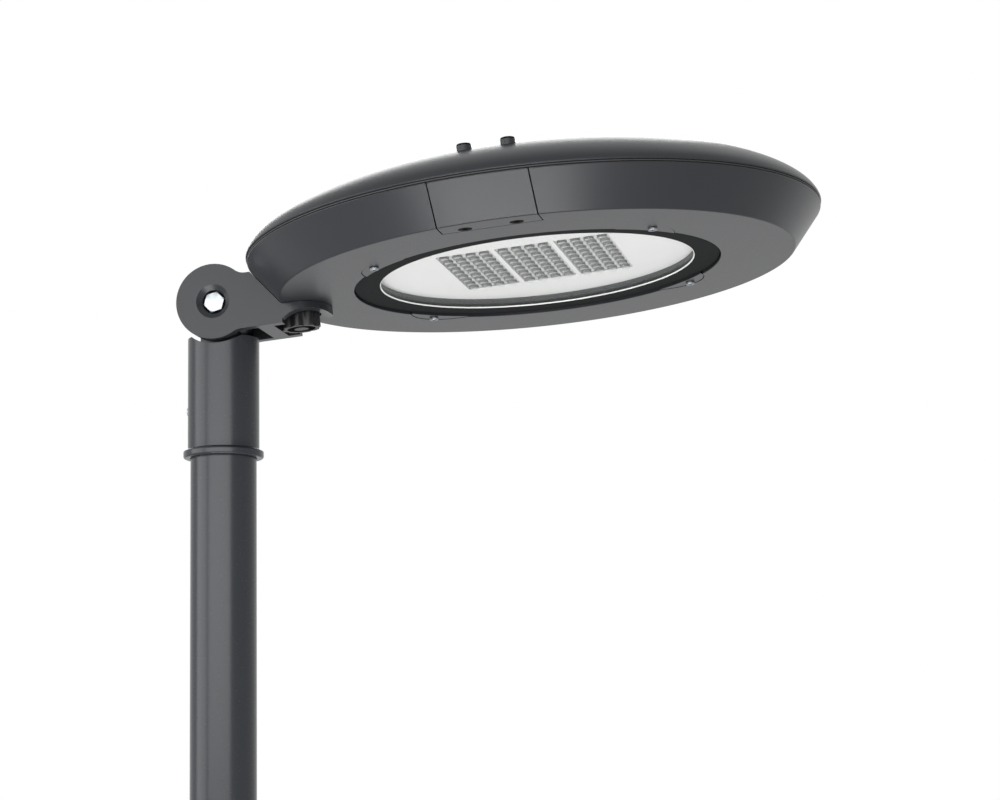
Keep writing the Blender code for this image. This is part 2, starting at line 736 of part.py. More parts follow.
def neck_outline():
    top_centre, top_angle = level_fillet(NECK_TOP, NECK_FILLET_TOP)
    low_centre, low_angle = level_fillet(-NECK_DEPTH, NECK_FILLET_LOW)
    points = arc((0, 0), HUB_RADIUS, top_angle, 360 + low_angle, KNUCKLE_SEGMENTS)
    points += arc(low_centre, NECK_FILLET_LOW, 180 + low_angle, 90, 3)[1:]
    points += [(NECK_TIP, -NECK_DEPTH), (NECK_TIP, NECK_TOP)]
    points += arc(top_centre, NECK_FILLET_TOP, -90, top_angle - 180, 4)[:-1]
    return points


def make_neck_arm(pivot):
    """Arm of two cheeks joined by a web, hooked under the head and closed round the knuckle's tongue."""
    block = prism(neck_outline(), -CHEEK_OUTER, CHEEK_OUTER, SIDEWAYS)
    bmesh.ops.recalc_face_normals(block, faces=block.faces)
    tip = [e for e in block.edges if all(abs(v.co.x - NECK_TIP) < 1e-6 for v in e.verts)]
    bevel_edges(block, [e for e in tip if abs(e.verts[0].co.y - e.verts[1].co.y) < 1e-6], NECK_TIP_ROUND, 6)
    sharp = [e for e in block.edges if e.calc_face_angle(0) > math.radians(60)]
    bevel_edges(block, sharp, CHEEK_ROUND, 2)
    arm = solid(block, "neck_arm", powder_coat(), pivot)
    envelope = [
        (0, DOME_HEIGHT), (HEAD_RADIUS + 2 * GAP, DOME_HEIGHT), (HEAD_RADIUS + 2 * GAP, BODY_HEIGHT),
        (FOOT_RADIUS + GAP, -GAP), (0, -GAP),
    ]
    cut(arm, turned(envelope), (HEAD_REACH, 0, -HEAD_DROP))
    slot_end = HUB_RADIUS + 2 * GAP
    cut(arm, box((-2 * HUB_RADIUS, slot_end), (-CHEEK_INNER, CHEEK_INNER), (-2 * HUB_RADIUS, 2 * HUB_RADIUS)))
    half = CHEEK_OUTER - NECK_WALL
    tip_x = NECK_TIP - NECK_WALL - half
    pocket = [(HUB_RADIUS / 2, -half)] + arc((tip_x, 0), half, -90, 90, 10) + [(HUB_RADIUS / 2, half)]
    cut(arm, prism(pocket, -2 * NECK_DEPTH, WEB_UNDER))
    bar_end = KNOB_X - KNOB_RADIUS - BAR_PLAY
    bar_half = half + NECK_WALL / 2
    add(arm, box((bar_end - BAR_WIDTH, bar_end), (-bar_half, bar_half), (-NECK_DEPTH, BAR_THICK - NECK_DEPTH)))
    scoop_x = KNOB_X + SCOOP_OFFSET
    spread = math.degrees(math.asin((SCOOP_OFFSET + SCOOP_START) / SCOOP_RADIUS))
    scoop = arc((scoop_x, -SCOOP_TOP - SCOOP_RADIUS), SCOOP_RADIUS, 90 - spread, 90 + spread, 8)
    scoop += [(scoop[-1][0], -2 * NECK_DEPTH), (scoop[0][0], -2 * NECK_DEPTH)]
    cut(arm, prism(scoop, -2 * CHEEK_OUTER, 2 * CHEEK_OUTER, SIDEWAYS))
    for side in (-1, 1):
        funnel = turned(
            [
                (0, 2 * GAP), (FUNNEL_MOUTH, 2 * GAP), (FUNNEL_BORE, -FUNNEL_CONE), (FUNNEL_BORE, -FUNNEL_DEPTH),
                (0, -FUNNEL_DEPTH),
            ],
            KNUCKLE_SEGMENTS,
        )
        cut(arm, funnel, (0, side * CHEEK_OUTER, 0), (-side * math.pi / 2, 0, 0))
    bolt = circle(BOLT_RADIUS + HOLE_PLAY)
    cut(arm, prism(bolt, -2 * CHEEK_OUTER, 2 * CHEEK_OUTER, SIDEWAYS))
    stud = circle(STUD_RADIUS + HOLE_PLAY, centre=(KNOB_X, 0))
    cut(arm, prism(stud, 2 * WEB_UNDER, 0))
    return arm


def make_knob(pivot):
    """Fluted hand knob that clamps the head to its arm, turned on its own stud."""
    spin = empty("knob_pivot", (KNOB_X, 0, KNOB_TOP), pivot)
    outline = []
    points = 4 * KNOB_FLUTES
    for i in range(points):
        wave = 0.5 - 0.5 * math.cos(2 * math.pi * i * KNOB_FLUTES / points)
        angle = 2 * math.pi * i / points
        radius = KNOB_RADIUS - KNOB_FLUTE_DEPTH * wave
        outline.append((radius * math.cos(angle), radius * math.sin(angle)))
    knob = solid(prism(outline, -KNOB_HEIGHT, 0), "lock_knob", black_nylon(), spin)
    hollow = KNOB_RADIUS - KNOB_FLUTE_DEPTH - KNOB_RIM
    cut(knob, ring(KNOB_BOSS, hollow, -KNOB_HEIGHT - GAP, -KNOB_HEIGHT + KNOB_HOLLOW, KNUCKLE_SEGMENTS))
    stud_end = STUD_REACH - HEAD_DROP - KNOB_TOP
    add(knob, prism(circle(STUD_RADIUS), -KNOB_HEIGHT / 2, stud_end))
    return knob


def ear_angles():
    return (EAR_ANGLE, math.pi - EAR_ANGLE, math.pi + EAR_ANGLE, -EAR_ANGLE)


def polar(radius, angle):
    return (radius * math.cos(angle), radius * math.sin(angle))


def cover_screw_places():
    places = []
    for side in (-1, 1):
        for end in (-1, 1):
            places.append((COVER_SCREW_SHIFT + end * COVER_SCREW_SPREAD, side * COVER_SCREW_AT))
    return places


def cover_screw_reach():
    """Radius at which the outermost cover screw stands."""
    return math.hypot(COVER_SCREW_SHIFT + COVER_SCREW_SPREAD, COVER_SCREW_AT)


def door_screw_places():
    return [(sx * DOOR_SCREW_SPREAD, -DOOR_SCREW_AT) for sx in (-1, 1)]


def pillar_top():
    """Just under the cover's inner skin at the pillar's outermost point."""
    return dome_height(cover_screw_reach() + PILLAR_RADIUS, COVER_WALL) - PILLAR_PLAY


def make_lower_body(centre):
    """Cast pan with the window's flange, the service door's opening, a shelf behind it and screw pillars."""
    profile = [
        (HEAD_RADIUS, BODY_HEIGHT), (wall_radius(BODY_EDGE), BODY_EDGE), (FOOT_RADIUS - BODY_EDGE, 0),
        (RECESS_RADIUS, 0), (RECESS_RADIUS, FLANGE_LOW), (WINDOW_RADIUS, FLANGE_LOW), (WINDOW_RADIUS, FLANGE_TOP),
        (RING_OUTER, FLANGE_TOP), (RING_OUTER, BODY_FLOOR), (FOOT_RADIUS - BODY_WALL, BODY_FLOOR),
        (HEAD_RADIUS - BODY_WALL, BODY_HEIGHT),
    ]
    body = solid(turned(profile), "lower_body", powder_coat(), centre)
    cut(
        body,
        box((-DOOR_HALF_WIDTH, DOOR_HALF_WIDTH), (-2 * HEAD_RADIUS, -DOOR_EDGE), (-BODY_HEIGHT, 2 * BODY_HEIGHT)),
    )
    shelf_half = DOOR_HALF_WIDTH - BODY_FLOOR
    shelf_low = DOOR_LIP_THICK + GAP
    add(body, box((-shelf_half, shelf_half), (-SHELF_EDGE, -(RING_OUTER - BODY_FLOOR)), (shelf_low, SHELF_TOP)))
    pillars = bmesh.new()
    for x, y in cover_screw_places():
        low = BODY_FLOOR / 2 if y > 0 else SHELF_TOP - BODY_EDGE
        prism(circle(PILLAR_RADIUS, SCREW_SEGMENTS, (x, y)), low, pillar_top(), bm=pillars)
    knob_at = (KNOB_X - HEAD_REACH, 0)
    prism(circle(STUD_RADIUS + BODY_FLOOR, SMALL_SEGMENTS, knob_at), BODY_FLOOR / 2, STUD_REACH, bm=pillars)
    add(body, pillars)
    pockets = bmesh.new()
    for angle in ear_angles():
        ear = circle(EAR_RADIUS + EAR_PLAY, EAR_SEGMENTS, polar(EAR_CENTRE, angle))
        prism(ear, -BODY_FLOOR, FRAME_RECESS + FRAME_LIP + GAP, bm=pockets)
    cut(body, pockets)
    holes = bmesh.new()
    for angle in ear_angles():
        at = polar(EAR_SCREW_AT, angle)
        prism(circle(FRAME_SCREW_RADIUS + HOLE_PLAY, SCREW_SEGMENTS, at), -BODY_FLOOR, FRAME_SCREW_LENGTH + GAP, bm=holes)
    for at in door_screw_places():
        prism(circle(DOOR_SCREW_RADIUS + HOLE_PLAY, SCREW_SEGMENTS, at), 0, SHELF_TOP + BODY_FLOOR, bm=holes)
    for at in cover_screw_places():
        low = SHELF_TOP + BODY_FLOOR
        prism(circle(COVER_SCREW_RADIUS + HOLE_PLAY, SCREW_SEGMENTS, at), low, 2 * DOME_HEIGHT, bm=holes)
    prism(circle(STUD_RADIUS + HOLE_PLAY, SCREW_SEGMENTS, knob_at), -BODY_FLOOR, 2 * STUD_REACH, bm=holes)
    cut(body, holes)
    return body


def make_service_door(centre):
    """Side lid with a lip under the head, held by two screws from below; it comes away downwards."""
    slide = empty("service_door_slide", (0, 0, 0), centre)
    profile = [
        (HEAD_RADIUS, BODY_HEIGHT), (wall_radius(BODY_EDGE), BODY_EDGE), (FOOT_RADIUS - BODY_EDGE, 0),
        (RING_OUTER, 0), (RING_OUTER, DOOR_LIP_THICK), (FOOT_RADIUS - BODY_WALL, DOOR_LIP_THICK),
        (HEAD_RADIUS - BODY_WALL, BODY_HEIGHT),
    ]
    door = solid(turned(profile), "service_door", powder_coat(), slide)
    half = DOOR_HALF_WIDTH - LID_PLAY
    keep(door, box((-half, half), (-2 * HEAD_RADIUS, -DOOR_EDGE - LID_PLAY), (-BODY_HEIGHT, 2 * BODY_HEIGHT)))
    holes = bmesh.new()
    for at in door_screw_places():
        prism(circle(DOOR_SCREW_HEAD + HOLE_PLAY, SMALL_SEGMENTS, at), -BODY_FLOOR, DOOR_SCREW_SINK, bm=holes)
    cut(door, holes)
    shanks = bmesh.new()
    for at in door_screw_places():
        prism(circle(DOOR_SCREW_RADIUS + HOLE_PLAY, SCREW_SEGMENTS, at), 0, 2 * DOOR_LIP_THICK, bm=shanks)
    cut(door, shanks)
    for i, (x, y) in enumerate(door_screw_places()):
        screw = solid(
            prism(circle(DOOR_SCREW_HEAD), 0, DOOR_SCREW_SINK - GAP), f"service_door_screw_{i + 1}", black_nylon(),
            slide, (x, y, 0),
        )
        add(screw, prism(circle(DOOR_SCREW_RADIUS, SCREW_SEGMENTS), DOOR_SCREW_SINK / 2, SHELF_TOP - GAP))
    return door


def make_cover(centre):
    """Domed shell with pads for its four screws, and the gasket it presses on."""
    outer = dome_points(0, DOME_STEPS)
    inner = dome_points(COVER_WALL, DOME_STEPS - 2)
    cover = solid(turned(outer + inner[::-1]), "top_cover", powder_coat(), centre)
    pad_low = dome_height(cover_screw_reach() + COVER_PAD_RADIUS, COVER_WALL) + COVER_WALL / 2
    pad_top = dome_height(cover_screw_reach()) + COVER_PAD_PROUD
    pads = bmesh.new()
    shanks = bmesh.new()
    for at in cover_screw_places():
        prism(circle(COVER_PAD_RADIUS, SMALL_SEGMENTS, at), pad_low, pad_top, bm=pads)
        prism(circle(COVER_SCREW_RADIUS + HOLE_PLAY, SCREW_SEGMENTS, at), BODY_HEIGHT, 2 * pad_top, bm=shanks)
    add(cover, pads)
    cut(cover, shanks)
    for i, (x, y) in enumerate(cover_screw_places()):
        head = prism(circle(COVER_SCREW_HEAD), pad_top + GAP, pad_top + GAP + COVER_SCREW_HEIGHT)
        screw = solid(head, f"cover_screw_{i + 1}", black_nylon(), centre, (x, y, 0))
        add(screw, prism(circle(COVER_SCREW_RADIUS, SCREW_SEGMENTS), pillar_top() / 2, pad_top + COVER_SCREW_HEIGHT / 2))
    gasket_outer = HEAD_RADIUS - GASKET_INSET
    gasket = ring(gasket_outer - GASKET_WIDTH, gasket_outer, BODY_HEIGHT + GAP, SEAM_TOP - GAP)
    solid(gasket, "cover_gasket", black_rubber(), centre)
    return cover


def ear_outline(angle, root):
    """Part of an ear's disc that lies outside a circle round the window, whose radius is root."""
    cosine = (root**2 + EAR_CENTRE**2 - EAR_RADIUS**2) / (2 * root * EAR_CENTRE)
    half = math.degrees(math.acos(cosine))
    spread = math.degrees(math.atan2(root * math.sqrt(1 - cosine**2), root * cosine - EAR_CENTRE))
    turn = math.degrees(angle)
    points = arc(polar(EAR_CENTRE, angle), EAR_RADIUS, turn - spread, turn + spread, EAR_SEGMENTS // 2)
    return points + arc((0, 0), root, turn + half, turn - half, 2)


def make_window(centre):
    """Glass held up against its gasket by a frame ring with four screwed ears."""
    frame_outer = RECESS_RADIUS - GAP - LID_PLAY
    frame_inner = WINDOW_RADIUS - FRAME_LIP
    glass_radius = WINDOW_RADIUS + GLASS_SEAT
    lip_top = FRAME_RECESS + FRAME_LIP
    profile = [
        (frame_outer, FLANGE_LOW - GAP), (frame_outer, FRAME_RECESS), (frame_inner, FRAME_RECESS),
        (frame_inner, lip_top), (glass_radius + GAP, lip_top), (glass_radius + GAP, FLANGE_LOW - GAP),
    ]
    frame = solid(turned(profile), "glass_frame", powder_coat(), centre)
    ears = bmesh.new()
    for angle in ear_angles():
        prism(ear_outline(angle, frame_outer - EAR_ROOT), GAP, lip_top - GAP, bm=ears)
    add(frame, ears)
    holes = bmesh.new()
    for angle in ear_angles():
        at = polar(EAR_SCREW_AT, angle)
        prism(circle(FRAME_SCREW_RADIUS + HOLE_PLAY, SCREW_SEGMENTS, at), -BODY_FLOOR, FLANGE_TOP, bm=holes)
    cut(frame, holes)
    for i, angle in enumerate(ear_angles()):
        x, y = polar(EAR_SCREW_AT, angle)
        head = prism(circle(FRAME_SCREW_HEAD), -FRAME_SCREW_HEIGHT, 0)
        screw = solid(head, f"frame_screw_{i + 1}", bright_zinc(), centre, (x, y, 0))
        add(screw, prism(circle(FRAME_SCREW_RADIUS, SCREW_SEGMENTS), -FRAME_SCREW_HEIGHT / 2, FRAME_SCREW_LENGTH))
    glass = prism(circle(glass_radius, HEAD_SEGMENTS), GLASS_LOW, GLASS_LOW + GLASS_THICK)
    solid(glass, "window_glass", clear_glass(), centre)
    seal_low = GLASS_LOW + GLASS_THICK + GAP
    seal_outer = WINDOW_RADIUS + GLASS_GASKET_WIDTH
    seal = ring(WINDOW_RADIUS, seal_outer, seal_low, seal_low + GLASS_GASKET_THICK)
    solid(seal, "glass_gasket", black_rubber(), centre)
    return frame


def strip_places():
    return [(i - (STRIPS - 1) / 2) * STRIP_PITCH for i in range(STRIPS)]


def make_lens_array(name, x, centre):
    """One moulded sheet of lenses: each cell of a grid is drawn down into a rounded crown."""
    made = bmesh.new()
    width, length = STRIP_WIDTH / LENS_COLUMNS, STRIP_LENGTH / LENS_ROWS
    grid = [[made.verts.new((c * width - STRIP_WIDTH / 2, r * length - STRIP_LENGTH / 2, 0))
             for c in range(LENS_COLUMNS + 1)] for r in range(LENS_ROWS + 1)]
    cells = []
    for low, high in zip(grid, grid[1:]):
        for c in range(LENS_COLUMNS):
            cells.append(made.faces.new((low[c], high[c], high[c + 1], low[c + 1])))
    back = bmesh.ops.extrude_face_region(made, geom=list(cells))["geom"]
    raised = [v for v in back if isinstance(v, bmesh.types.BMVert)]
    bmesh.ops.translate(made, verts=raised, vec=(0, 0, REFLECTOR_THICK))
    bmesh.ops.recalc_face_normals(made, faces=made.faces)
    lenses = [f for f in made.faces if f.calc_center_median().z < GAP and abs(f.normal.z) > 0.5]
    bmesh.ops.inset_individual(made, faces=lenses, thickness=LENS_INSET, use_even_offset=True)
    drawn = bmesh.ops.extrude_discrete_faces(made, faces=lenses)["faces"]
    for face in drawn:
        bmesh.ops.translate(made, verts=face.verts, vec=(0, 0, -LENS_HEIGHT))
        middle = Matrix.Translation(-face.calc_center_median())
        bmesh.ops.scale(made, verts=face.verts, vec=(LENS_CROWN, LENS_CROWN, 1), space=middle)
    return solid(made, name, clear_acrylic(), centre, (x, 0, REFLECTOR_HEIGHT))


def make_light_engine(centre):
    """White plate with a lens array in each cut-out, the boards behind them and the heat spreader."""
    plate_radius = WINDOW_RADIUS - REFLECTOR_PLAY
    plate = solid(
        prism(circle(plate_radius, HEAD_SEGMENTS), REFLECTOR_HEIGHT, REFLECTOR_HEIGHT + REFLECTOR_THICK),
        "reflector_plate", white_paint(), centre,
    )
    cutouts = bmesh.new()
    half_width, half_length = STRIP_WIDTH / 2 + GAP, STRIP_LENGTH / 2 + GAP
    for x in strip_places():
        box((x - half_width, x + half_width), (-half_length, half_length), (0, 2 * LED_BOARD_LOW), cutouts)
    cut(plate, cutouts)
    lap_width, lap_length = STRIP_WIDTH / 2 + BOARD_LAP, STRIP_LENGTH / 2 + BOARD_LAP
    for i, x in enumerate(strip_places()):
        make_lens_array(f"lens_array_{i + 1}", x, centre)
        board = box(
            (x - lap_width, x + lap_width), (-lap_length, lap_length),
            (LED_BOARD_LOW, LED_BOARD_LOW + LED_BOARD_THICK),
        )
        solid(board, f"led_board_{i + 1}", white_paint(), centre)
    spreader = prism(
        circle(WINDOW_RADIUS + SPREADER_LAP, HEAD_SEGMENTS), SPREADER_LOW, SPREADER_LOW + SPREADER_THICK
    )
    solid(spreader, "heat_spreader", bare_aluminium(), centre)
    return plate


def make_gear(centre):
    """Driver and surge protector on a folded tray, and the terminal block behind the service door."""
    half = TRAY_WIDTH / 2
    section = [
        (-half, TRAY_LOW + TRAY_FOLD), (-half, TRAY_LOW), (half, TRAY_LOW), (half, TRAY_LOW + TRAY_FOLD),
        (half - TRAY_SHEET, TRAY_LOW + TRAY_FOLD), (half - TRAY_SHEET, TRAY_LOW + TRAY_SHEET),
        (-half + TRAY_SHEET, TRAY_LOW + TRAY_SHEET), (-half + TRAY_SHEET, TRAY_LOW + TRAY_FOLD),
    ]
    along_x = Matrix(((0, 0, 1, 0), (1, 0, 0, 0), (0, 1, 0, 0), (0, 0, 0, 1)))
    solid(prism(section, -TRAY_LENGTH / 2, TRAY_LENGTH / 2, along_x), "gear_tray", galvanised(), centre)
    seat = TRAY_LOW + TRAY_SHEET + GAP
    start = -(DRIVER_LENGTH + GEAR_SPACE + SURGE_LENGTH) / 2
    driver = soft_box(
        (start, start + DRIVER_LENGTH), (-DRIVER_WIDTH / 2, DRIVER_WIDTH / 2), (seat, seat + DRIVER_HEIGHT), GEAR_EDGE
    )
    solid(driver, "led_driver", white_paint(), centre)
    start += DRIVER_LENGTH + GEAR_SPACE
    surge = soft_box(
        (start, start + SURGE_LENGTH), (-SURGE_WIDTH / 2, SURGE_WIDTH / 2), (seat, seat + SURGE_HEIGHT), GEAR_EDGE
    )
    solid(surge, "surge_protector", grey_plastic(), centre)
    low = SHELF_TOP + GAP
    back = -(SHELF_EDGE + RING_OUTER) / 2 + TERMINAL_DEPTH / 2
    terminal = solid(
        box((-TERMINAL_LENGTH / 2, TERMINAL_LENGTH / 2), (back - TERMINAL_DEPTH, back), (low, low + TERMINAL_HEIGHT)),
        "terminal_block", grey_plastic(), centre,
    )
    pitch = TERMINAL_LENGTH / TERMINAL_POLES
    mouths = bmesh.new()
    for i in range(TERMINAL_POLES):
        x = -TERMINAL_LENGTH / 2 + (i + 0.5) * pitch
        mouth = (low + TERMINAL_HEIGHT / 4, low + TERMINAL_HEIGHT * 0.7)
        box((x - pitch / 3, x + pitch / 3), (back - 2 * TERMINAL_DEPTH, back - TERMINAL_DEPTH / 2), mouth, mouths)
    cut(terminal, mouths)
    return terminal


def clear_scene():
    for old in list(bpy.data.objects):
        bpy.data.objects.remove(old, do_unlink=True)


def make_post():
    make_base_plate()
    make_gussets()
    make_base_tube()
    make_base_door()
    make_fuse_board()
    make_earth_stud()
    make_step_cone()
    make_post_shaft()


def make_head(axis):
    pivot = empty("head_pivot", (0, 0, 0), axis, -TILT)
    centre = empty("head_centre", (HEAD_REACH, 0, -HEAD_DROP), pivot)
    make_tilt_bolt(pivot)
    make_neck_arm(pivot)
    make_knob(pivot)
    make_lower_body(centre)
    make_service_door(centre)
    make_cover(centre)
    make_window(centre)
    make_light_engine(centre)
    make_gear(centre)


def main():
    clear_scene()
    make_post()
    axis = empty("tilt_axis", (0, 0, AXIS_HEIGHT))
    make_sleeve(axis)
    make_sleeve_fittings(axis)
    make_head(axis)


main()
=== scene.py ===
"""Looks of a street lamp post: a disc-shaped LED head on a tilting knuckle, on a stepped tubular post.

Metres, +Z up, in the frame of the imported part: the post stands on the Z axis, the head reaches along +X
and both doors face -Y. Every piece is modelled smooth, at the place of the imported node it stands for.
"""

import logging
import math
from collections.abc import Callable, Iterable
from dataclasses import dataclass, replace
from enum import Enum

import bmesh
import bpy
from mathutils import Matrix, Vector


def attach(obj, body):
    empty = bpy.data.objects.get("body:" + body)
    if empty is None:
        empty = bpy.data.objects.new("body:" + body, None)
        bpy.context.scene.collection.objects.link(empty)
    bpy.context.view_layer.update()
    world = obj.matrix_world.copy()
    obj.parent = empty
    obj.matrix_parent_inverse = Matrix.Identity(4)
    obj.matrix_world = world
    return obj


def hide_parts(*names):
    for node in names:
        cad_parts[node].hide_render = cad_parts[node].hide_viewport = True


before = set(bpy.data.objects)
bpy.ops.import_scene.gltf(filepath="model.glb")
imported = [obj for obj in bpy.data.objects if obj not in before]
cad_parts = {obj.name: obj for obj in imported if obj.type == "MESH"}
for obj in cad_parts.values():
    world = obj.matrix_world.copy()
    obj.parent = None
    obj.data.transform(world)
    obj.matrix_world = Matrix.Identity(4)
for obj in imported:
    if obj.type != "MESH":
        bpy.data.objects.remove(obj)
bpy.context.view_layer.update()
LOG = logging.getLogger("lamp_post")

Point = tuple[float, float]
Triple = tuple[float, float, float]
Outline = list[Point]
Tree = bpy.types.NodeTree
Node = bpy.types.Node
Socket = bpy.types.NodeSocket

# Turns a shape drawn flat so that its drawn Y points up and its depth comes forward, towards -Y
FACING_FRONT = Matrix.Rotation(math.pi / 2, 4, "X")
# Turns a screw so that its head hangs down
HANGING = Matrix.Rotation(math.pi, 4, "X")
# Edges sharper than this stay crisp
SHARP = math.radians(38)


class Body(Enum):
    """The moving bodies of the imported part."""

    POST = "post"
    BASE_DOOR = "base_door"
    BASE_LOCK = "base_lock"
    SLEEVE = "sleeve"
    HEAD = "head"
    LOCK_KNOB = "lock_knob"
    SERVICE_DOOR = "service_door"


class Join(Enum):
    """What becomes of two shapes that meet."""

    CUT = "DIFFERENCE"
    ADD = "UNION"
    KEEP = "INTERSECT"


@dataclass(frozen=True)
class Datum:
    """Sizes that several sub-assemblies share, in metres."""

    axis_height: float = 3.5
    tilt: float = math.radians(5.0)
    gap: float = 0.0003
    hole_play: float = 0.0004
    lid_play: float = 0.0005
    post_radius: float = 0.030
    tube_radius: float = 0.05715
    tube_inner: float = 0.05315
    tube_top: float = 1.0
    plate_thick: float = 0.016
    head_radius: float = 0.2597
    foot_radius: float = 0.2325
    head_reach: float = 0.2933
    head_drop: float = 0.0105
    body_height: float = 0.034
    body_wall: float = 0.0045
    body_floor: float = 0.004
    seam_top: float = 0.036
    window_radius: float = 0.1435
    recess_radius: float = 0.1655
    ring_outer: float = 0.1825
    ear_radius: float = 0.0383
    ear_centre: float = 0.1397
    ear_screw_at: float = 0.172
    ear_angle: float = 44.5
    flange_low: float = 0.0086
    flange_top: float = 0.0151
    frame_recess: float = 0.0026
    frame_lip: float = 0.0013
    knob_x: float = 0.0713
    stud_radius: float = 0.004
    stud_reach: float = 0.0095
    shelf_top: float = 0.009
    dome_height: float = 0.058
    dome_power: float = 2.4
    dome_root: float = 1.75
    cover_wall: float = 0.003
    cover_screw_shift: float = 0.0037
    cover_screw_half: float = 0.0187
    cover_screw_side: float = 0.2195
    door_screw_half: float = 0.022
    door_screw_side: float = 0.213
    frame_screw: float = 0.002
    frame_screw_length: float = 0.009
    round_steps: int = 208
    tube_steps: int = 112

    def axis(self) -> Matrix:
        """Place of the tilt axis over the post."""
        return Matrix.Translation((0, 0, self.axis_height))

    def pivot(self) -> Matrix:
        """Frame of the tilted neck, on the tilt axis."""
        return self.axis() @ Matrix.Rotation(-self.tilt, 4, "Y")

    def head(self) -> Matrix:
        """Frame of the head, at the middle of its flat underside."""
        return self.pivot() @ Matrix.Translation((self.head_reach, 0, -self.head_drop))

    def dome(self, radius: float, inset: float = 0.0) -> float:
        """Height of the cover's skin over the underside.

        Args:
            radius: distance from the head's middle.
            inset: how far the skin lies inside the outer one.

        Returns:
            The height in metres.
        """
        share = min(radius / (self.head_radius - inset), 1.0)
        rise = (1 - share**self.dome_power) ** (1 / self.dome_root)
        return self.seam_top + (self.dome_height - inset) * rise

    def ear_turns(self) -> list[float]:
        """Directions of the window frame's four ears in degrees."""
        return [self.ear_angle, 180 - self.ear_angle, 180 + self.ear_angle, -self.ear_angle]

    def ears(self, radius: float) -> list[Point]:
        """Points at a radius on the lines of the ears."""
        turns = [math.radians(turn) for turn in self.ear_turns()]
        return [(radius * math.cos(a), radius * math.sin(a)) for a in turns]

    def cover_screws(self) -> list[Point]:
        """Places of the four screws on the cover."""
        ends = [self.cover_screw_shift + end * self.cover_screw_half for end in (-1, 1)]
        return [(x, side * self.cover_screw_side) for side in (-1, 1) for x in ends]

    def door_screws(self) -> list[Point]:
        """Places of the two screws in the service door's lip."""
        return [(end * self.door_screw_half, -self.door_screw_side) for end in (-1, 1)]


SIZES = Datum()


def arc(centre: Point, radius: float, start: float, end: float, steps: int) -> Outline:
    """Points along an arc, both ends included.

    Args:
        centre: middle of the arc.
        radius: its radius.
        start: first angle in degrees.
        end: last angle in degrees.
        steps: how many chords it has.

    Returns:
        The points in order.
    """
    angles = [math.radians(start + (end - start) * i / steps) for i in range(steps + 1)]
    return [(centre[0] + radius * math.cos(a), centre[1] + radius * math.sin(a)) for a in angles]


def disc(radius: float, steps: int, centre: Point = (0.0, 0.0), phase: float = 0.0) -> Outline:
    """Points round a circle, or round a regular polygon where steps is small."""
    return arc(centre, radius, phase, phase + 360, steps)[:-1]


def hexagon(across: float, turn: float = 0.0) -> Outline:
    """Outline of a hexagon by its width across flats, turned by an angle in degrees."""
    return disc(across / math.sqrt(3), 6, phase=turn)


def softened(corners: Iterable[Triple], steps: int = 4) -> Outline:
    """Rounds the corners of a closed outline.

    Args:
        corners: points with the radius of each, where 0 leaves it sharp.
        steps: chords in each round.

    Returns:
        The outline with its rounds.
    """
    given = list(corners)
    points: Outline = []
    for i, (x, y, radius) in enumerate(given):
        here = Vector((x, y))
        back = Vector(given[i - 1][:2]) - here
        on = Vector(given[(i + 1) % len(given)][:2]) - here
        if radius <= 0:
            points.append((x, y))
            continue
        half = back.angle(on) / 2
        reach = min(radius / math.tan(half), 0.49 * back.length, 0.49 * on.length)
        middle = here + (back.normalized() + on.normalized()).normalized() * (reach / math.cos(half))
        bow = reach * math.tan(half)
        first = here + back.normalized() * reach - middle
        last = here + on.normalized() * reach - middle
        points += [tuple(middle + first.slerp(last, k / steps).normalized() * bow) for k in range(steps + 1)]
    return points


def rectangle(x: Point, y: Point, corner: float = 0.0, steps: int = 6) -> Outline:
    """Outline of a rectangle by its low and high sides, with rounded corners."""
    corners = [(x[1], y[1]), (x[0], y[1]), (x[0], y[0]), (x[1], y[0])]
    return softened([(*at, corner) for at in corners], steps)


def ring_section(inner: float, outer: float, low: float, high: float, soft: float) -> list[Triple]:
    """Corners of a ring's section, all with the same round."""
    return [(outer, low, soft), (outer, high, soft), (inner, high, soft), (inner, low, soft)]


def disc_section(radius: float, low: float, high: float, soft: float) -> list[Triple]:
    """Corners of a disc's section, from its axis out and back, with both rims rounded."""
    return [(0, low, 0), (radius, low, soft), (radius, high, soft), (0, high, 0)]


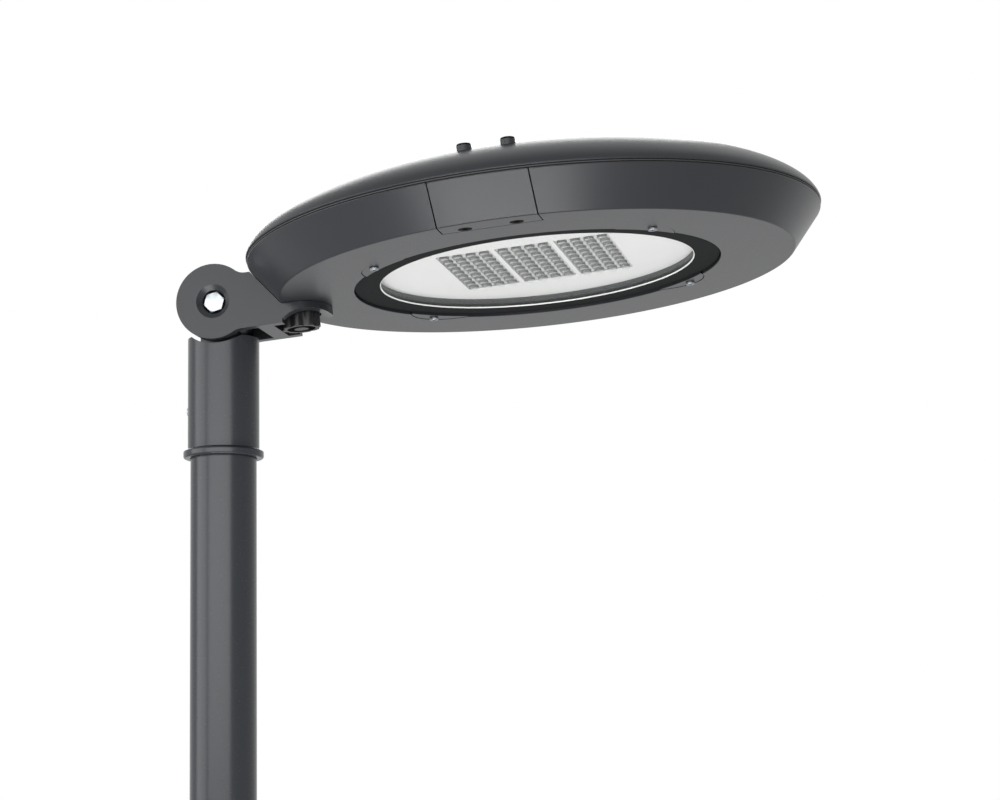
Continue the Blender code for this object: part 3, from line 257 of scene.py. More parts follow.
class Stock:
    """A closed shape in the making."""

    def __init__(self, bm: bmesh.types.BMesh) -> None:
        """Takes over a bmesh."""
        self.bm = bm

    @classmethod
    def turned(cls, profile: Outline, steps: int = 96) -> "Stock":
        """Spins a profile about Z.

        Args:
            profile: (radius, height) points; both ends may lie on the axis.
            steps: facets round the axis.

        Returns:
            The turned shape.
        """
        bm = bmesh.new()
        points = [bm.verts.new((r, 0, z)) for r, z in profile]
        open_ends = profile[0][0] == 0 and profile[-1][0] == 0
        ends = points[1:] if open_ends else points[1:] + points[:1]
        edges = [bm.edges.new(pair) for pair in zip(points, ends)]
        bmesh.ops.spin(
            bm, geom=points + edges, axis=(0, 0, 1), angle=2 * math.pi, steps=steps, use_merge=True
        )
        bmesh.ops.remove_doubles(bm, verts=bm.verts, dist=1e-6)
        return cls(bm)

    @classmethod
    def lathed(cls, corners: Iterable[Triple], steps: int = 96, chords: int = 4) -> "Stock":
        """Spins a profile with rounded corners about Z.

        Args:
            corners: radius, height and round of each corner.
            steps: facets round the axis.
            chords: chords in each round.

        Returns:
            The turned shape.
        """
        return cls.turned(softened(corners, chords), steps)

    @classmethod
    def pressed(cls, outline: Outline, low: float, high: float) -> "Stock":
        """Gives an outline depth along Z.

        Args:
            outline: the outline, drawn flat.
            low: height of its lower face.
            high: height of its upper face.

        Returns:
            The pressed shape.
        """
        bm = bmesh.new()
        face = bm.faces.new([bm.verts.new((x, y, low)) for x, y in outline])
        grown = bmesh.ops.extrude_face_region(bm, geom=[face])["geom"]
        top = [v for v in grown if isinstance(v, bmesh.types.BMVert)]
        bmesh.ops.translate(bm, verts=top, vec=(0, 0, high - low))
        return cls(bm)

    @classmethod
    def block(cls, x: Point, y: Point, z: Point, corner: float = 0.0) -> "Stock":
        """A block by its low and high sides, with upright corners rounded."""
        return cls.pressed(rectangle(x, y, corner), z[0], z[1])

    @classmethod
    def gathered(cls, shapes: Iterable["Stock"]) -> "Stock":
        """Puts several shapes that stay apart into one mesh.

        Args:
            shapes: the shapes; they are used up.

        Returns:
            All of them as one.
        """
        bm = bmesh.new()
        for shape in shapes:
            mesh = bpy.data.meshes.new("stock")
            shape.bm.to_mesh(mesh)
            shape.bm.free()
            bm.from_mesh(mesh)
            bpy.data.meshes.remove(mesh)
        return cls(bm)

    def moved(self, place: Matrix) -> "Stock":
        """Puts the shape in another place."""
        bmesh.ops.transform(self.bm, matrix=place, verts=self.bm.verts)
        return self

    def shaped(self, move: Callable[[Vector], Vector]) -> "Stock":
        """Moves each point by a rule.

        Args:
            move: gives a point's new place.

        Returns:
            This shape, changed.
        """
        for vert in self.bm.verts:
            vert.co = move(vert.co.copy())
        return self

    def rounded(self, width: float, segments: int, sharper: float = math.radians(60)) -> "Stock":
        """Rounds every edge that is sharper than an angle.

        Args:
            width: how far the round reaches from the edge.
            segments: its facets.
            sharper: the angle in radians.

        Returns:
            This shape, changed.
        """
        bmesh.ops.recalc_face_normals(self.bm, faces=self.bm.faces)
        edges = [e for e in self.bm.edges if e.is_manifold and e.calc_face_angle(0.0) > sharper]
        bmesh.ops.bevel(
            self.bm, geom=edges, offset=width, offset_type="OFFSET", segments=segments, profile=0.5,
            affect="EDGES", clamp_overlap=True, material=-1,
        )
        return self

    def meeting(self, other: "Stock", how: Join) -> "Stock":
        """Cuts another shape away, joins it or keeps what both share.

        Args:
            other: the shape that meets this one; it is used up.
            how: what becomes of the two.

        Returns:
            This shape, changed.
        """
        pair = []
        for shape in (self, other):
            bmesh.ops.recalc_face_normals(shape.bm, faces=shape.bm.faces)
            mesh = bpy.data.meshes.new("stock")
            shape.bm.to_mesh(mesh)
            shape.bm.free()
            made = bpy.data.objects.new("stock", mesh)
            bpy.context.scene.collection.objects.link(made)
            pair.append(made)
        modifier = pair[0].modifiers.new("meeting", "BOOLEAN")
        modifier.operation = how.value
        modifier.solver = "EXACT"
        modifier.object = pair[1]
        self.bm = bmesh.new()
        self.bm.from_object(pair[0], bpy.context.evaluated_depsgraph_get())
        for made in pair:
            mesh = made.data
            bpy.data.objects.remove(made)
            bpy.data.meshes.remove(mesh)
        bmesh.ops.remove_doubles(self.bm, verts=self.bm.verts, dist=2e-6)
        return self

    def cut(self, *others: "Stock") -> "Stock":
        """Cuts other shapes away."""
        return self.meeting(Stock.gathered(others), Join.CUT)

    def drilled(self, places: Iterable[Point], radius: float, depth: Point, steps: int = 24) -> "Stock":
        """Bores an upright hole at each place.

        Args:
            places: the middles of the holes.
            radius: their radius.
            depth: the heights they run from and to.
            steps: their facets.

        Returns:
            This shape, changed.
        """
        return self.cut(*(Stock.pressed(disc(radius, steps, at), *depth) for at in places))

    def join(self, *others: "Stock") -> "Stock":
        """Joins other shapes, one after another.

        Args:
            others: the shapes; they are used up.

        Returns:
            This shape, changed.
        """
        for other in others:
            self.meeting(other, Join.ADD)
        return self

    def keep(self, other: "Stock") -> "Stock":
        """Keeps what it shares with another shape."""
        return self.meeting(other, Join.KEEP)


def hex_colour(code: str) -> tuple[float, float, float, float]:
    """Turns an sRGB hex value into a linear colour.

    Args:
        code: the value, such as #8090a0.

    Returns:
        Red, green and blue, with an alpha of 1.
    """
    shares = [int(code[i : i + 2], 16) / 255 for i in (1, 3, 5)]
    linear = [s / 12.92 if s <= 0.04045 else ((s + 0.055) / 1.055) ** 2.4 for s in shares]
    return (linear[0], linear[1], linear[2], 1.0)


def add_node(tree: Tree, kind: str, settings: dict | None = None, links: dict | None = None) -> Node:
    """Adds a node with its settings and links.

    Args:
        tree: the node tree.
        kind: the node's type.
        settings: values by property, socket name or socket number.
        links: output sockets by the name or number of the input they feed.

    Returns:
        The node.
    """
    node = tree.nodes.new(kind)
    for key, value in (settings or {}).items():
        if isinstance(key, int) or key in node.inputs:
            node.inputs[key].default_value = value
        else:
            setattr(node, key, value)
    for key, socket in (links or {}).items():
        tree.links.new(socket, node.inputs[key])
    return node


def noise(tree: Tree, place: Socket, size: float, detail: float) -> Node:
    """Adds noise whose features have a size in metres."""
    return add_node(tree, "ShaderNodeTexNoise", {"Scale": 1 / size, "Detail": detail}, {"Vector": place})


@dataclass(frozen=True)
class Finish:
    """A surface finish whose tone drifts and whose grain gives it roughness and relief.

    Args:
        name: what the surface is.
        slot: the record's material slot it belongs to; not used by this script.
        colour: sRGB hex of its main tone.
        second: sRGB hex of the tone it drifts to.
        roughness: how blurred its shine is.
        drift: size of the tone's drift in metres.
        grain: size of its grain in metres.
        depth: relief of the grain in metres.
        metallic: 1 for bare metal.
        shine: the share of mirror reflection, 0.5 for most things.
    """

    name: str
    slot: str
    colour: str
    second: str
    roughness: float
    drift: float
    grain: float
    depth: float
    metallic: float = 0.0
    shine: float = 0.5

    def material(self) -> bpy.types.Material:
        """The finish as a material, made once."""
        found = bpy.data.materials.get(self.name)
        if found:
            return found
        made = bpy.data.materials.new(self.name)
        made.use_nodes = True
        shader = made.node_tree.nodes["Principled BSDF"]
        shader.inputs["Metallic"].default_value = self.metallic
        shader.inputs["Specular IOR Level"].default_value = self.shine
        self.dress(made.node_tree, shader)
        return made

    def dress(self, tree: Tree, shader: Node) -> None:
        """Feeds colour, roughness and relief to the shader.

        Args:
            tree: the material's node tree.
            shader: the shader it feeds.
        """
        place = add_node(tree, "ShaderNodeTexCoord").outputs["Object"]
        self.tint(tree, shader, place)
        self.texture(tree, shader, place)

    def tint(self, tree: Tree, shader: Node, place: Socket) -> None:
        """Lets the tone drift slowly over the surface."""
        self.two_tone(tree, shader, noise(tree, place, self.drift, 3.0).outputs["Fac"])

    def texture(self, tree: Tree, shader: Node, place: Socket) -> None:
        """Gives the surface its fine relief and uneven shine.

        Args:
            tree: the material's node tree.
            shader: the shader it feeds.
            place: the point on the surface, in object coordinates.
        """
        grain = noise(tree, place, self.grain, 2.0).outputs["Fac"]
        self.uneven_shine(tree, shader, grain, 0.15)
        height = {"Strength": 1.0, "Distance": self.depth}
        relief = add_node(tree, "ShaderNodeBump", height, {"Height": grain})
        tree.links.new(relief.outputs["Normal"], shader.inputs["Normal"])

    def two_tone(self, tree: Tree, shader: Node, share: Socket) -> None:
        """Mixes the two tones.

        Args:
            tree: the material's node tree.
            shader: the shader it feeds.
            share: how far each point goes from the main tone to the second.
        """
        tones = {"data_type": "RGBA", 6: hex_colour(self.colour), 7: hex_colour(self.second)}
        mixed = add_node(tree, "ShaderNodeMix", tones, {0: share})
        tree.links.new(mixed.outputs[2], shader.inputs["Base Color"])

    def uneven_shine(self, tree: Tree, shader: Node, share: Socket, swing: float) -> None:
        """Lets the roughness swing about its own value.

        Args:
            tree: the material's node tree.
            shader: the shader it feeds.
            share: where in the swing each point is.
            swing: how far it goes, as a share of the roughness.
        """
        ends = {"To Min": (1 - swing) * self.roughness, "To Max": (1 + swing) * self.roughness}
        shine = add_node(tree, "ShaderNodeMapRange", ends, {"Value": share})
        tree.links.new(shine.outputs["Result"], shader.inputs["Roughness"])


@dataclass(frozen=True)
class Spangled(Finish):
    """Hot-dip zinc: flat crystals a centimetre across, each with its own tone."""

    def tint(self, tree: Tree, shader: Node, place: Socket) -> None:
        """Gives each crystal its own tone.

        Args:
            tree: the material's node tree.
            shader: the shader it feeds.
            place: the point on the surface, in object coordinates.
        """
        warp = noise(tree, place, self.drift / 2, 2.0).outputs["Color"]
        bend = {"operation": "MULTIPLY_ADD", 1: (self.drift / 2,) * 3}
        bent = add_node(tree, "ShaderNodeVectorMath", bend, {0: warp, 2: place}).outputs[0]
        crystals = add_node(tree, "ShaderNodeTexVoronoi", {"Scale": 1 / self.drift}, {"Vector": bent})
        share = add_node(tree, "ShaderNodeSeparateColor", None, {"Color": crystals.outputs["Color"]})
        self.two_tone(tree, shader, share.outputs["Red"])


@dataclass(frozen=True)
class Clear(Finish):
    """A clear sheet or moulding: what is behind it shows, with a faint tint and a sharp shine.

    Args:
        cover: how much of its own tone it shows.
        bending: the refractive index.
    """

    cover: float = 1.0
    bending: float = 1.5

    def dress(self, tree: Tree, shader: Node) -> None:
        """Sets the clearness, and wipes a little unevenness over the shine.

        Args:
            tree: the material's node tree.
            shader: the shader it feeds.
        """
        shader.inputs["IOR"].default_value = self.bending
        shader.inputs["Alpha"].default_value = self.cover
        place = add_node(tree, "ShaderNodeTexCoord").outputs["Object"]
        self.tint(tree, shader, place)
        self.uneven_shine(tree, shader, noise(tree, place, self.grain, 3.0).outputs["Fac"], 0.4)


# Polyester powder baked on cast aluminium: an even satin skin with a faint orange peel
COATED_CASTING = Finish(
    "satin_powder_coat_on_aluminium", "powder_coated_aluminium", "#232528", "#282a2d",
    roughness=0.34, drift=0.16, grain=0.0016, depth=0.00002, shine=0.25,
)
# The same powder on drawn tube, a little smoother than on the casting
COATED_TUBE = Finish(
    "satin_powder_coat_on_steel", "powder_coated_steel", "#23262a", "#282a2e",
    roughness=0.26, drift=0.30, grain=0.0020, depth=0.000015, shine=0.25,
)
# The same smooth powder on the sleeve and its collar
COATED_SLEEVE = replace(COATED_TUBE, name="satin_powder_coat_on_sleeve", slot="powder_coated_aluminium")
# Black powder on the window's bezel: matt, so that the glass stands out in it
BLACK_COAT = Finish(
    "matt_black_powder_coat", "powder_coated_aluminium", "#151617", "#1b1c1d",
    roughness=0.80, drift=0.10, grain=0.0016, depth=0.00002, shine=0.08,
)
# Hot-dip zinc on the base plate: dull silver with a leafy pattern of crystals
GALVANISED = Spangled(
    "hot_dip_galvanised_steel", "galvanised_steel", "#8e9294", "#a9adaf",
    roughness=0.42, drift=0.011, grain=0.0015, depth=0.00002, metallic=0.9,
)
# Bright electroplated zinc on turned steel: a clean silver with a blue cast
BRIGHT_ZINC = Finish(
    "bright_zinc_plated_steel", "zinc_plated_steel", "#8b8f92", "#979b9e",
    roughness=0.40, drift=0.008, grain=0.0006, depth=0.000006, metallic=1.0,
)
# Black oxide on screws and washers: nearly black and dull, darkened past the steel's own tone as painted
# shade of the deep screw seats in the side lid and of the funnels round the bolt
BLACK_OXIDE_AND_SHADE = Finish(
    "black_oxide_steel_and_painted_shade", "black_steel_screws", "#0c0c0d", "#121213",
    roughness=0.75, drift=0.004, grain=0.0005, depth=0.000006, shine=0.08,
)
# EPDM rubber: moulded, dull and nearly black
RUBBER = Finish(
    "moulded_epdm_rubber", "black_rubber", "#1d1d1e", "#262627",
    roughness=0.62, drift=0.02, grain=0.0008, depth=0.00002,
)
# Glass-filled nylon: black, with the fine spark-eroded texture of its mould
NYLON = Finish(
    "glass_filled_nylon", "black_nylon", "#131315", "#1a1a1c",
    roughness=0.42, drift=0.012, grain=0.0007, depth=0.00002, shine=0.35,
)
# Silicone that beds the pane: milky and smooth; its pale bead is also a painted highlight along the pane's
# edge
SILICONE_AND_EDGE_HIGHLIGHT = Finish(
    "milky_silicone_with_painted_highlight", "grey_plastic", "#dcdddc", "#e4e5e4",
    roughness=0.35, drift=0.02, grain=0.0008, depth=0.00001,
)
# Milled aluminium: a soft grey metal
MILLED = Finish(
    "milled_aluminium", "bare_aluminium", "#b4b7ba", "#c6c9cb",
    roughness=0.36, drift=0.02, grain=0.0006, depth=0.00001, metallic=1.0,
)
# White reflector paint on sheet aluminium: matt and even
WHITE_PAINT = Finish(
    "white_reflector_paint", "white_aluminium", "#dadad9", "#e0e0df",
    roughness=0.55, drift=0.06, grain=0.0012, depth=0.00001,
)
# Solder mask on the LED boards: white, glossier than the paint
SOLDER_MASK = Finish(
    "white_solder_mask", "white_aluminium", "#e2e2e1", "#e8e8e7",
    roughness=0.40, drift=0.03, grain=0.0010, depth=0.00001,
)
# Painted shade: nearly black crescents laid into the lens sheet stand in for the dark refraction at the front
# of each lens, so that each lens shows a dark and a bright half
LENS_CRESCENT_SHADE = Finish(
    "painted_lens_crescent_shade", "grey_plastic", "#20201e", "#2a2a27",
    roughness=0.35, drift=0.002, grain=0.0005, depth=0.000005,
)
# Light-grey ABS of the gear in the head and the foot
GREY_ABS = Finish(
    "light_grey_abs", "grey_plastic", "#8d9092", "#979a9b",
    roughness=0.45, drift=0.05, grain=0.0008, depth=0.00002,
)
# Toughened float glass: a faint green-grey film over what is behind it
GLASS = Clear(
    "toughened_float_glass", "clear_glass", "#dfe6e3", "#e4eae7",
    roughness=0.04, drift=0.2, grain=0.05, depth=0.0, cover=0.06, bending=1.52,
)
# Injection-moulded acrylic lenses: water-clear, a pale gloss over what is in and behind them
ACRYLIC = Clear(
    "moulded_acrylic_lenses", "clear_acrylic", "#d8dada", "#e0e2e2",
    roughness=0.12, drift=0.02, grain=0.01, depth=0.0, cover=0.10, bending=1.49,
)


class Assembly:
    """A group of pieces that is built together."""

    def build(self) -> None:
        """Builds every piece of the group."""
        raise NotImplementedError

    def piece(
        self,
        stock: Stock,
        name: str,
        body: Body,
        finish: Finish,
        nodes: Iterable[str] = (),
        place: Matrix | None = None,
        edge: float = 0.0,
    ) -> bpy.types.Object:
        """Turns a shape into a finished piece on its body.

        Args:
            stock: the shape; it is used up.
            name: the piece's name.
            body: the body it moves with.
            finish: its surface.
            nodes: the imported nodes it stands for.
            place: the frame it was drawn in.
            edge: width of the soft round on its sharp edges.

        Returns:
            The piece.
        """
        if place:
            stock.moved(place)
        bm = stock.bm
        bmesh.ops.recalc_face_normals(bm, faces=bm.faces)
        mesh = bpy.data.meshes.new(name)
        bm.to_mesh(mesh)
        bm.free()
        mesh.shade_smooth()
        mesh.set_sharp_from_angle(angle=SHARP)
        mesh.materials.append(finish.material())
        made = bpy.data.objects.new(name, mesh)
        bpy.context.scene.collection.objects.link(made)
        if edge:
            soft = made.modifiers.new("soft_edges", "BEVEL")
            soft.width = edge
            soft.segments = 2
            soft.limit_method = "ANGLE"
            soft.angle_limit = SHARP
            soft.harden_normals = True
        even = made.modifiers.new("even_shading", "WEIGHTED_NORMAL")
        even.keep_sharp = True
        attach(made, body.value)
        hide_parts(*nodes)
        LOG.info("%s on %s: %d faces, for %s", name, body.value, len(mesh.polygons), list(nodes) or "no node")
        return made


@dataclass
class Foot(Assembly):
    """Base plate, gussets and the wide tube with its access opening."""

    plate_side: float = 0.40
    plate_corner: float = 0.03
    anchor_pitch: float = 0.28
    slot_length: float = 0.044
    slot_width: float = 0.024
    entry_radius: float = 0.017
    entry_at: float = 0.026
    gusset_height: float = 0.09
    gusset_reach: float = 0.06
    gusset_thick: float = 0.008
    access_low: float = 0.45
    access_high: float = 0.85
    access_half: float = 0.042
    access_corner: float = 0.018
    bead: float = 0.0028
    bead_sink: float = 0.0005
    ripple: float = 0.0016
    ripple_rise: float = 0.07

    def build(self) -> None:
        """Builds the foot."""
        self.build_plate()
        self.build_tube()
        self.build_gussets()
        self.build_welds()

    def build_plate(self) -> None:
        """Flange plate with four slots and two cable entries."""
        half = self.plate_side / 2
        plate = Stock.block((-half, half), (-half, half), (0, SIZES.plate_thick), self.plate_corner)
        through = (-SIZES.plate_thick, 2 * SIZES.plate_thick)
        tools = []
        run = (self.slot_length - self.slot_width) / 2
        for sx in (-1, 1):
            for sy in (-1, 1):
                at = (sx * self.anchor_pitch / 2, sy * self.anchor_pitch / 2)
                slot = arc((at[0] + run, at[1]), self.slot_width / 2, -90, 90, 16)
                slot += arc((at[0] - run, at[1]), self.slot_width / 2, 90, 270, 16)
                tools.append(Stock.pressed(slot, *through))
        for sy in (-1, 1):
            tools.append(Stock.pressed(disc(self.entry_radius, 40, (0, sy * self.entry_at)), *through))
        self.piece(plate.cut(*tools), "flange_plate", Body.POST, GALVANISED, ["base_plate"], edge=0.0012)

    def access_outline(self, play: float) -> Outline:
        """Outline of the access opening, or of the door in it.

        Args:
            play: the gap round the door, 0 for the opening.

        Returns:
            The outline, seen from the front.
        """
        half = self.access_half - play
        return rectangle(
            (-half, half), (self.access_low + play, self.access_high - play), self.access_corner - play, 10
        )

    def build_tube(self) -> None:
        """Wide tube with the access opening."""
        low = SIZES.plate_thick + SIZES.gap
        tube = Stock.lathed(
            [
                (SIZES.tube_radius, low, 0), (SIZES.tube_radius, SIZES.tube_top, 0.001),
                (SIZES.tube_inner, SIZES.tube_top, 0.001), (SIZES.tube_inner, low, 0),
            ],
            SIZES.tube_steps,
        )
        tube.cut(Stock.pressed(self.access_outline(0), 0, 2 * SIZES.tube_radius).moved(FACING_FRONT))
        self.piece(tube, "foot_tube", Body.POST, COATED_TUBE, ["base_tube"], edge=0.0005)

    def build_gussets(self) -> None:
        """Four ribs between tube and plate."""
        inner = SIZES.tube_radius + SIZES.gap
        low = SIZES.plate_thick + SIZES.gap
        toe = self.gusset_thick
        outline = [
            (inner, low), (inner + self.gusset_reach, low), (inner + self.gusset_reach, low + toe),
            (inner + toe, low + self.gusset_height), (inner, low + self.gusset_height),
        ]
        for i in range(4):
            rib = Stock.pressed(outline, -self.gusset_thick / 2, self.gusset_thick / 2).moved(FACING_FRONT)
            self.piece(
                rib, f"gusset_{i + 1}", Body.POST, COATED_TUBE, [f"base_gusset_{i + 1}"],
                Matrix.Rotation(i * math.pi / 2, 4, "Z"), edge=0.0009,
            )

    def weld(self, start: Vector, end: Vector) -> Stock:
        """A rippled weld bead that thins out at both ends.

        Args:
            start: its first point.
            end: its last point.

        Returns:
            The bead.
        """
        run = end - start
        half_ripples = 2 * int(run.length / self.ripple)
        profile: Outline = [(0, 0)]
        for i in range(half_ripples + 1):
            share = i / half_ripples
            swell = min(1.0, 6 * share, 6 * (1 - share)) ** 0.5
            radius = self.bead * (1 + self.ripple_rise * (i % 2)) * (0.35 + 0.65 * swell)
            profile.append((radius, run.length * (0.01 + 0.98 * share)))
        profile.append((0, run.length))
        turn = run.to_track_quat("Z", "Y").to_matrix().to_4x4()
        return Stock.turned(profile, 10).moved(Matrix.Translation(start) @ turn)

    def build_welds(self) -> None:
        """Beads along the gussets and round the tube's foot."""
        inner = SIZES.tube_radius
        low = SIZES.plate_thick
        beads = []
        for i in range(4):
            turn = Matrix.Rotation(i * math.pi / 2, 4, "Z")
            for side in (-1, 1):
                y = side * (self.gusset_thick / 2 + self.bead / 3)
                root = Vector((inner + self.bead / 3, y, low + self.bead / 3))
                toe = Vector((inner + self.gusset_reach, y, low + self.bead / 3))
                top = Vector((inner + self.bead / 3, y, low + self.gusset_height))
                beads.append(self.weld(root, toe).moved(turn))
                beads.append(self.weld(root, top).moved(turn))
        leg = 2 * self.bead
        root = (inner - self.bead_sink, low)
        beads.append(Stock.turned([root, (inner + leg, low)] + arc(root, leg, 25, 90, 5), 240))
        self.piece(Stock.gathered(beads), "foot_welds", Body.POST, COATED_TUBE)


@dataclass
class AccessDoor(Assembly):
    """Flush door of the foot with its hook and key lock, and the fuse gear behind it."""

    play: float = 0.0012
    hook_half: float = 0.025
    hook_drop: float = 0.018
    hook_lap: float = 0.03
    hook_thick: float = 0.003
    hook_outer: float = 0.05249
    lock_height: float = 0.831
    lock_radius: float = 0.010
    lock_depth: float = 0.018
    key_radius: float = 0.0055
    key_depth: float = 0.006
    cam_length: float = 0.027
    cam_width: float = 0.011
    cam_thick: float = 0.003
    board_half: float = 0.030
    board_low: float = 0.50
    board_high: float = 0.80
    board_front: float = 0.03327
    board_back: float = 0.04327
    cutout_half: float = 0.026
    cutout_depth: float = 0.034
    cutout_height: float = 0.14
    cutout_step: float = 0.008
    cutout_corner: float = 0.003
    lid_inset: float = 0.004
    lid_half_height: float = 0.048
    grip_count: int = 5
    grip_pitch: float = 0.006
    grip_half: Point = (0.014, 0.0012)
    grip_depth: float = 0.0015
    gland_radius: float = 0.007
    gland_at: float = 0.012
    gland_depth: float = 0.012
    lid_screw_radius: float = 0.0032
    lid_screw_at: float = 0.058
    lid_screw_depth: float = 0.0125
    slot_half: Point = (0.018, 0.004)
    slot_inset: float = 0.02
    slot_depth: float = 0.003
    overcut: float = 0.01
    earth_place: Triple = (0, 0.05255, 0.40)
    earth_radius: float = 0.004
    earth_length: float = 0.024
    earth_pitch: float = 0.00125
    earth_bore: float = 0.0035
    earth_nut: Point = (0.013, 0.006)
    earth_nut_at: float = 0.012
    earth_washer: Point = (0.0041, 0.008)
    earth_washer_at: Point = (0.0104, 0.0118)

    def build(self) -> None:
        """Builds the door, its lock and the gear behind it."""
        self.build_door(Foot())
        self.build_lock()
        self.build_fuse_gear()
        self.build_earth_stud()

    def build_door(self, foot: Foot) -> None:
        """Curved panel with a hook behind its lower edge.

        Args:
            foot: the foot whose opening it closes.
        """
        start, high = foot.access_low, SIZES.tube_top
        panel = Stock.lathed(
            ring_section(SIZES.tube_inner, SIZES.tube_radius, start / 2, high, 0), SIZES.tube_steps
        )
        deep = 2 * SIZES.tube_radius
        panel.keep(Stock.pressed(foot.access_outline(self.play), 0, deep).moved(FACING_FRONT))
        across = (-self.hook_half, self.hook_half)
        back = -math.sqrt(self.hook_outer**2 - self.hook_half**2) + self.hook_thick
        lap_high = start + self.hook_lap
        hook = Stock.block(across, (-self.hook_outer, back), (start - self.hook_drop, lap_high))
        hook.keep(Stock.turned([(0, high), (self.hook_outer, high), (self.hook_outer, 0), (0, 0)], 96))
        middle = -(SIZES.tube_inner + SIZES.tube_radius) / 2
        bridge = Stock.block(across, (middle, back), (start + 2 * self.play, lap_high))
        hole = disc(self.lock_radius + SIZES.hole_play, 40, (0, self.lock_height))
        panel.join(bridge, hook).cut(Stock.pressed(hole, 0, deep).moved(FACING_FRONT))
        self.piece(panel, "access_door", Body.BASE_DOOR, COATED_TUBE, ["base_door"], edge=0.0004)

    def build_lock(self) -> None:
        """Barrel with a three-cornered key hole, and the cam behind it."""
        face = SIZES.tube_radius - SIZES.gap
        rear = SIZES.tube_radius - self.lock_depth
        radius, sunk = self.lock_radius, face - 0.0007
        barrel = Stock.lathed(
            [
                (0, rear, 0), (radius, rear, 0.0005), (radius, face, 0.0009),
                (radius * 0.78, face, 0.0003), (radius * 0.74, sunk, 0.0003), (0, sunk, 0),
            ],
            48,
        )
        key = Stock.pressed(disc(self.key_radius, 3, phase=90), face - self.key_depth, face + 0.001)
        half = self.cam_width / 2
        cam = arc((self.cam_length - half, 0), half, -90, 90, 12) + [(-half, half), (-half, -half)]
        arm = Stock.pressed(cam, rear - SIZES.gap, rear + self.cam_thick)
        barrel.cut(key).join(arm)
        place = Matrix.Translation((0, 0, self.lock_height)) @ FACING_FRONT
        self.piece(barrel, "key_lock", Body.BASE_LOCK, BRIGHT_ZINC, ["base_door_lock"], place, edge=0.0003)

    def build_fuse_gear(self) -> None:
        """Board on the tube's rear wall, and the fused cut-out on it."""
        half = self.board_half
        board = Stock.block(
            (-half, half), (self.board_front, self.board_back), (self.board_low, self.board_high)
        )
        places = [(0, z) for z in (self.board_low + self.slot_inset, self.board_high - self.slot_inset)]
        face, depth = self.board_front, self.slot_depth
        slots = [self.groove(at, self.slot_half, 0.0039, 5, face, depth) for at in places]
        self.piece(board.cut(*slots), "gear_board", Body.POST, GREY_ABS, ["fuse_board"], edge=0.0012)
        middle = (self.board_low + self.board_high) / 2
        rear = self.board_front - SIZES.gap
        front = rear - self.cutout_depth
        step = front + self.cutout_step
        low, high = middle - self.cutout_height / 2, middle + self.cutout_height / 2
        half = self.cutout_half
        body = Stock.block((-half, half), (step, rear), (low, high), self.cutout_corner)
        half -= self.lid_inset
        tall = self.lid_half_height
        lid = rectangle((-half, half), (middle - tall, middle + tall), self.lid_inset)
        body.join(Stock.pressed(lid, -rear, -front).moved(FACING_FRONT))
        grips = []
        for i in range(self.grip_count):
            at = (0, middle + (i - (self.grip_count - 1) / 2) * self.grip_pitch)
            grips.append(self.groove(at, self.grip_half, 0.0011, 3, front, self.grip_depth))
        for side in (-1, 1):
            gland = disc(self.gland_radius, 32, (side * self.gland_at, (step + rear) / 2))
            grips.append(Stock.pressed(gland, low - self.overcut, low + self.gland_depth))
            screw = disc(self.lid_screw_radius, 24, (0, middle + side * self.lid_screw_at))
            sunk = Stock.pressed(screw, -front - self.lid_screw_depth, -front + self.overcut)
            grips.append(sunk.moved(FACING_FRONT))
        self.piece(body.cut(*grips), "fused_cutout", Body.POST, NYLON, ["fuse_cutout"], edge=0.0008)

    def groove(self, at: Point, half: Point, corner: float, steps: int, face: float, depth: float) -> Stock:
        """Tool for a groove in a face that looks to the front.

        Args:
            at: the groove's middle, across and up.
            half: half its width and half its height.
            corner: radius of its corners.
            steps: chords in each corner.
            face: where the face stands along Y.
            depth: how deep the groove is.

        Returns:
            The tool, which reaches out of the face.
        """
        (x, z), (wide, tall) = at, half
        outline = rectangle((x - wide, x + wide), (z - tall, z + tall), corner, steps)
        return Stock.pressed(outline, -face - depth, -face + self.overcut).moved(FACING_FRONT)

    def build_earth_stud(self) -> None:
        """Threaded stud with its nut and washer on the tube's inner wall."""
        stud = threaded(self.earth_radius, self.earth_length, self.earth_pitch)
        nut = chamfered_nut(*self.earth_nut).drilled([(0, 0)], self.earth_bore, (-0.01, 0.02))
        inner, outer = self.earth_washer
        low, high = self.earth_washer_at
        washer = Stock.lathed(
            [(inner, low, 0.0002), (outer, low, 0.0003), (outer, high, 0.0003), (inner, high, 0.0002)], 40
        )
        parts = Stock.gathered([stud, nut.moved(Matrix.Translation((0, 0, self.earth_nut_at))), washer])
        place = Matrix.Translation(self.earth_place) @ FACING_FRONT
        self.piece(parts, "earth_terminal", Body.POST, BRIGHT_ZINC, ["earth_stud"], place)


def threaded(radius: float, length: float, pitch: float) -> Stock:
    """A threaded rod from the origin up Z, with chamfered ends.

    Args:
        radius: outer radius of the thread.
        length: length of the rod.
        pitch: distance from crest to crest.

    Returns:
        The rod.
    """
    core = radius - 0.6 * pitch
    count = int(length / pitch)
    step = length / count
    flanks = ((core, 0.1), (radius, 0.45), (radius, 0.6), (core, 0.95))
    profile: Outline = [(0, 0), (core, 0)]
    for i in range(count):
        profile += [(reach, (i + share) * step) for reach, share in flanks]
    profile += [(core, length), (0, length)]
    return Stock.turned(profile, 28)


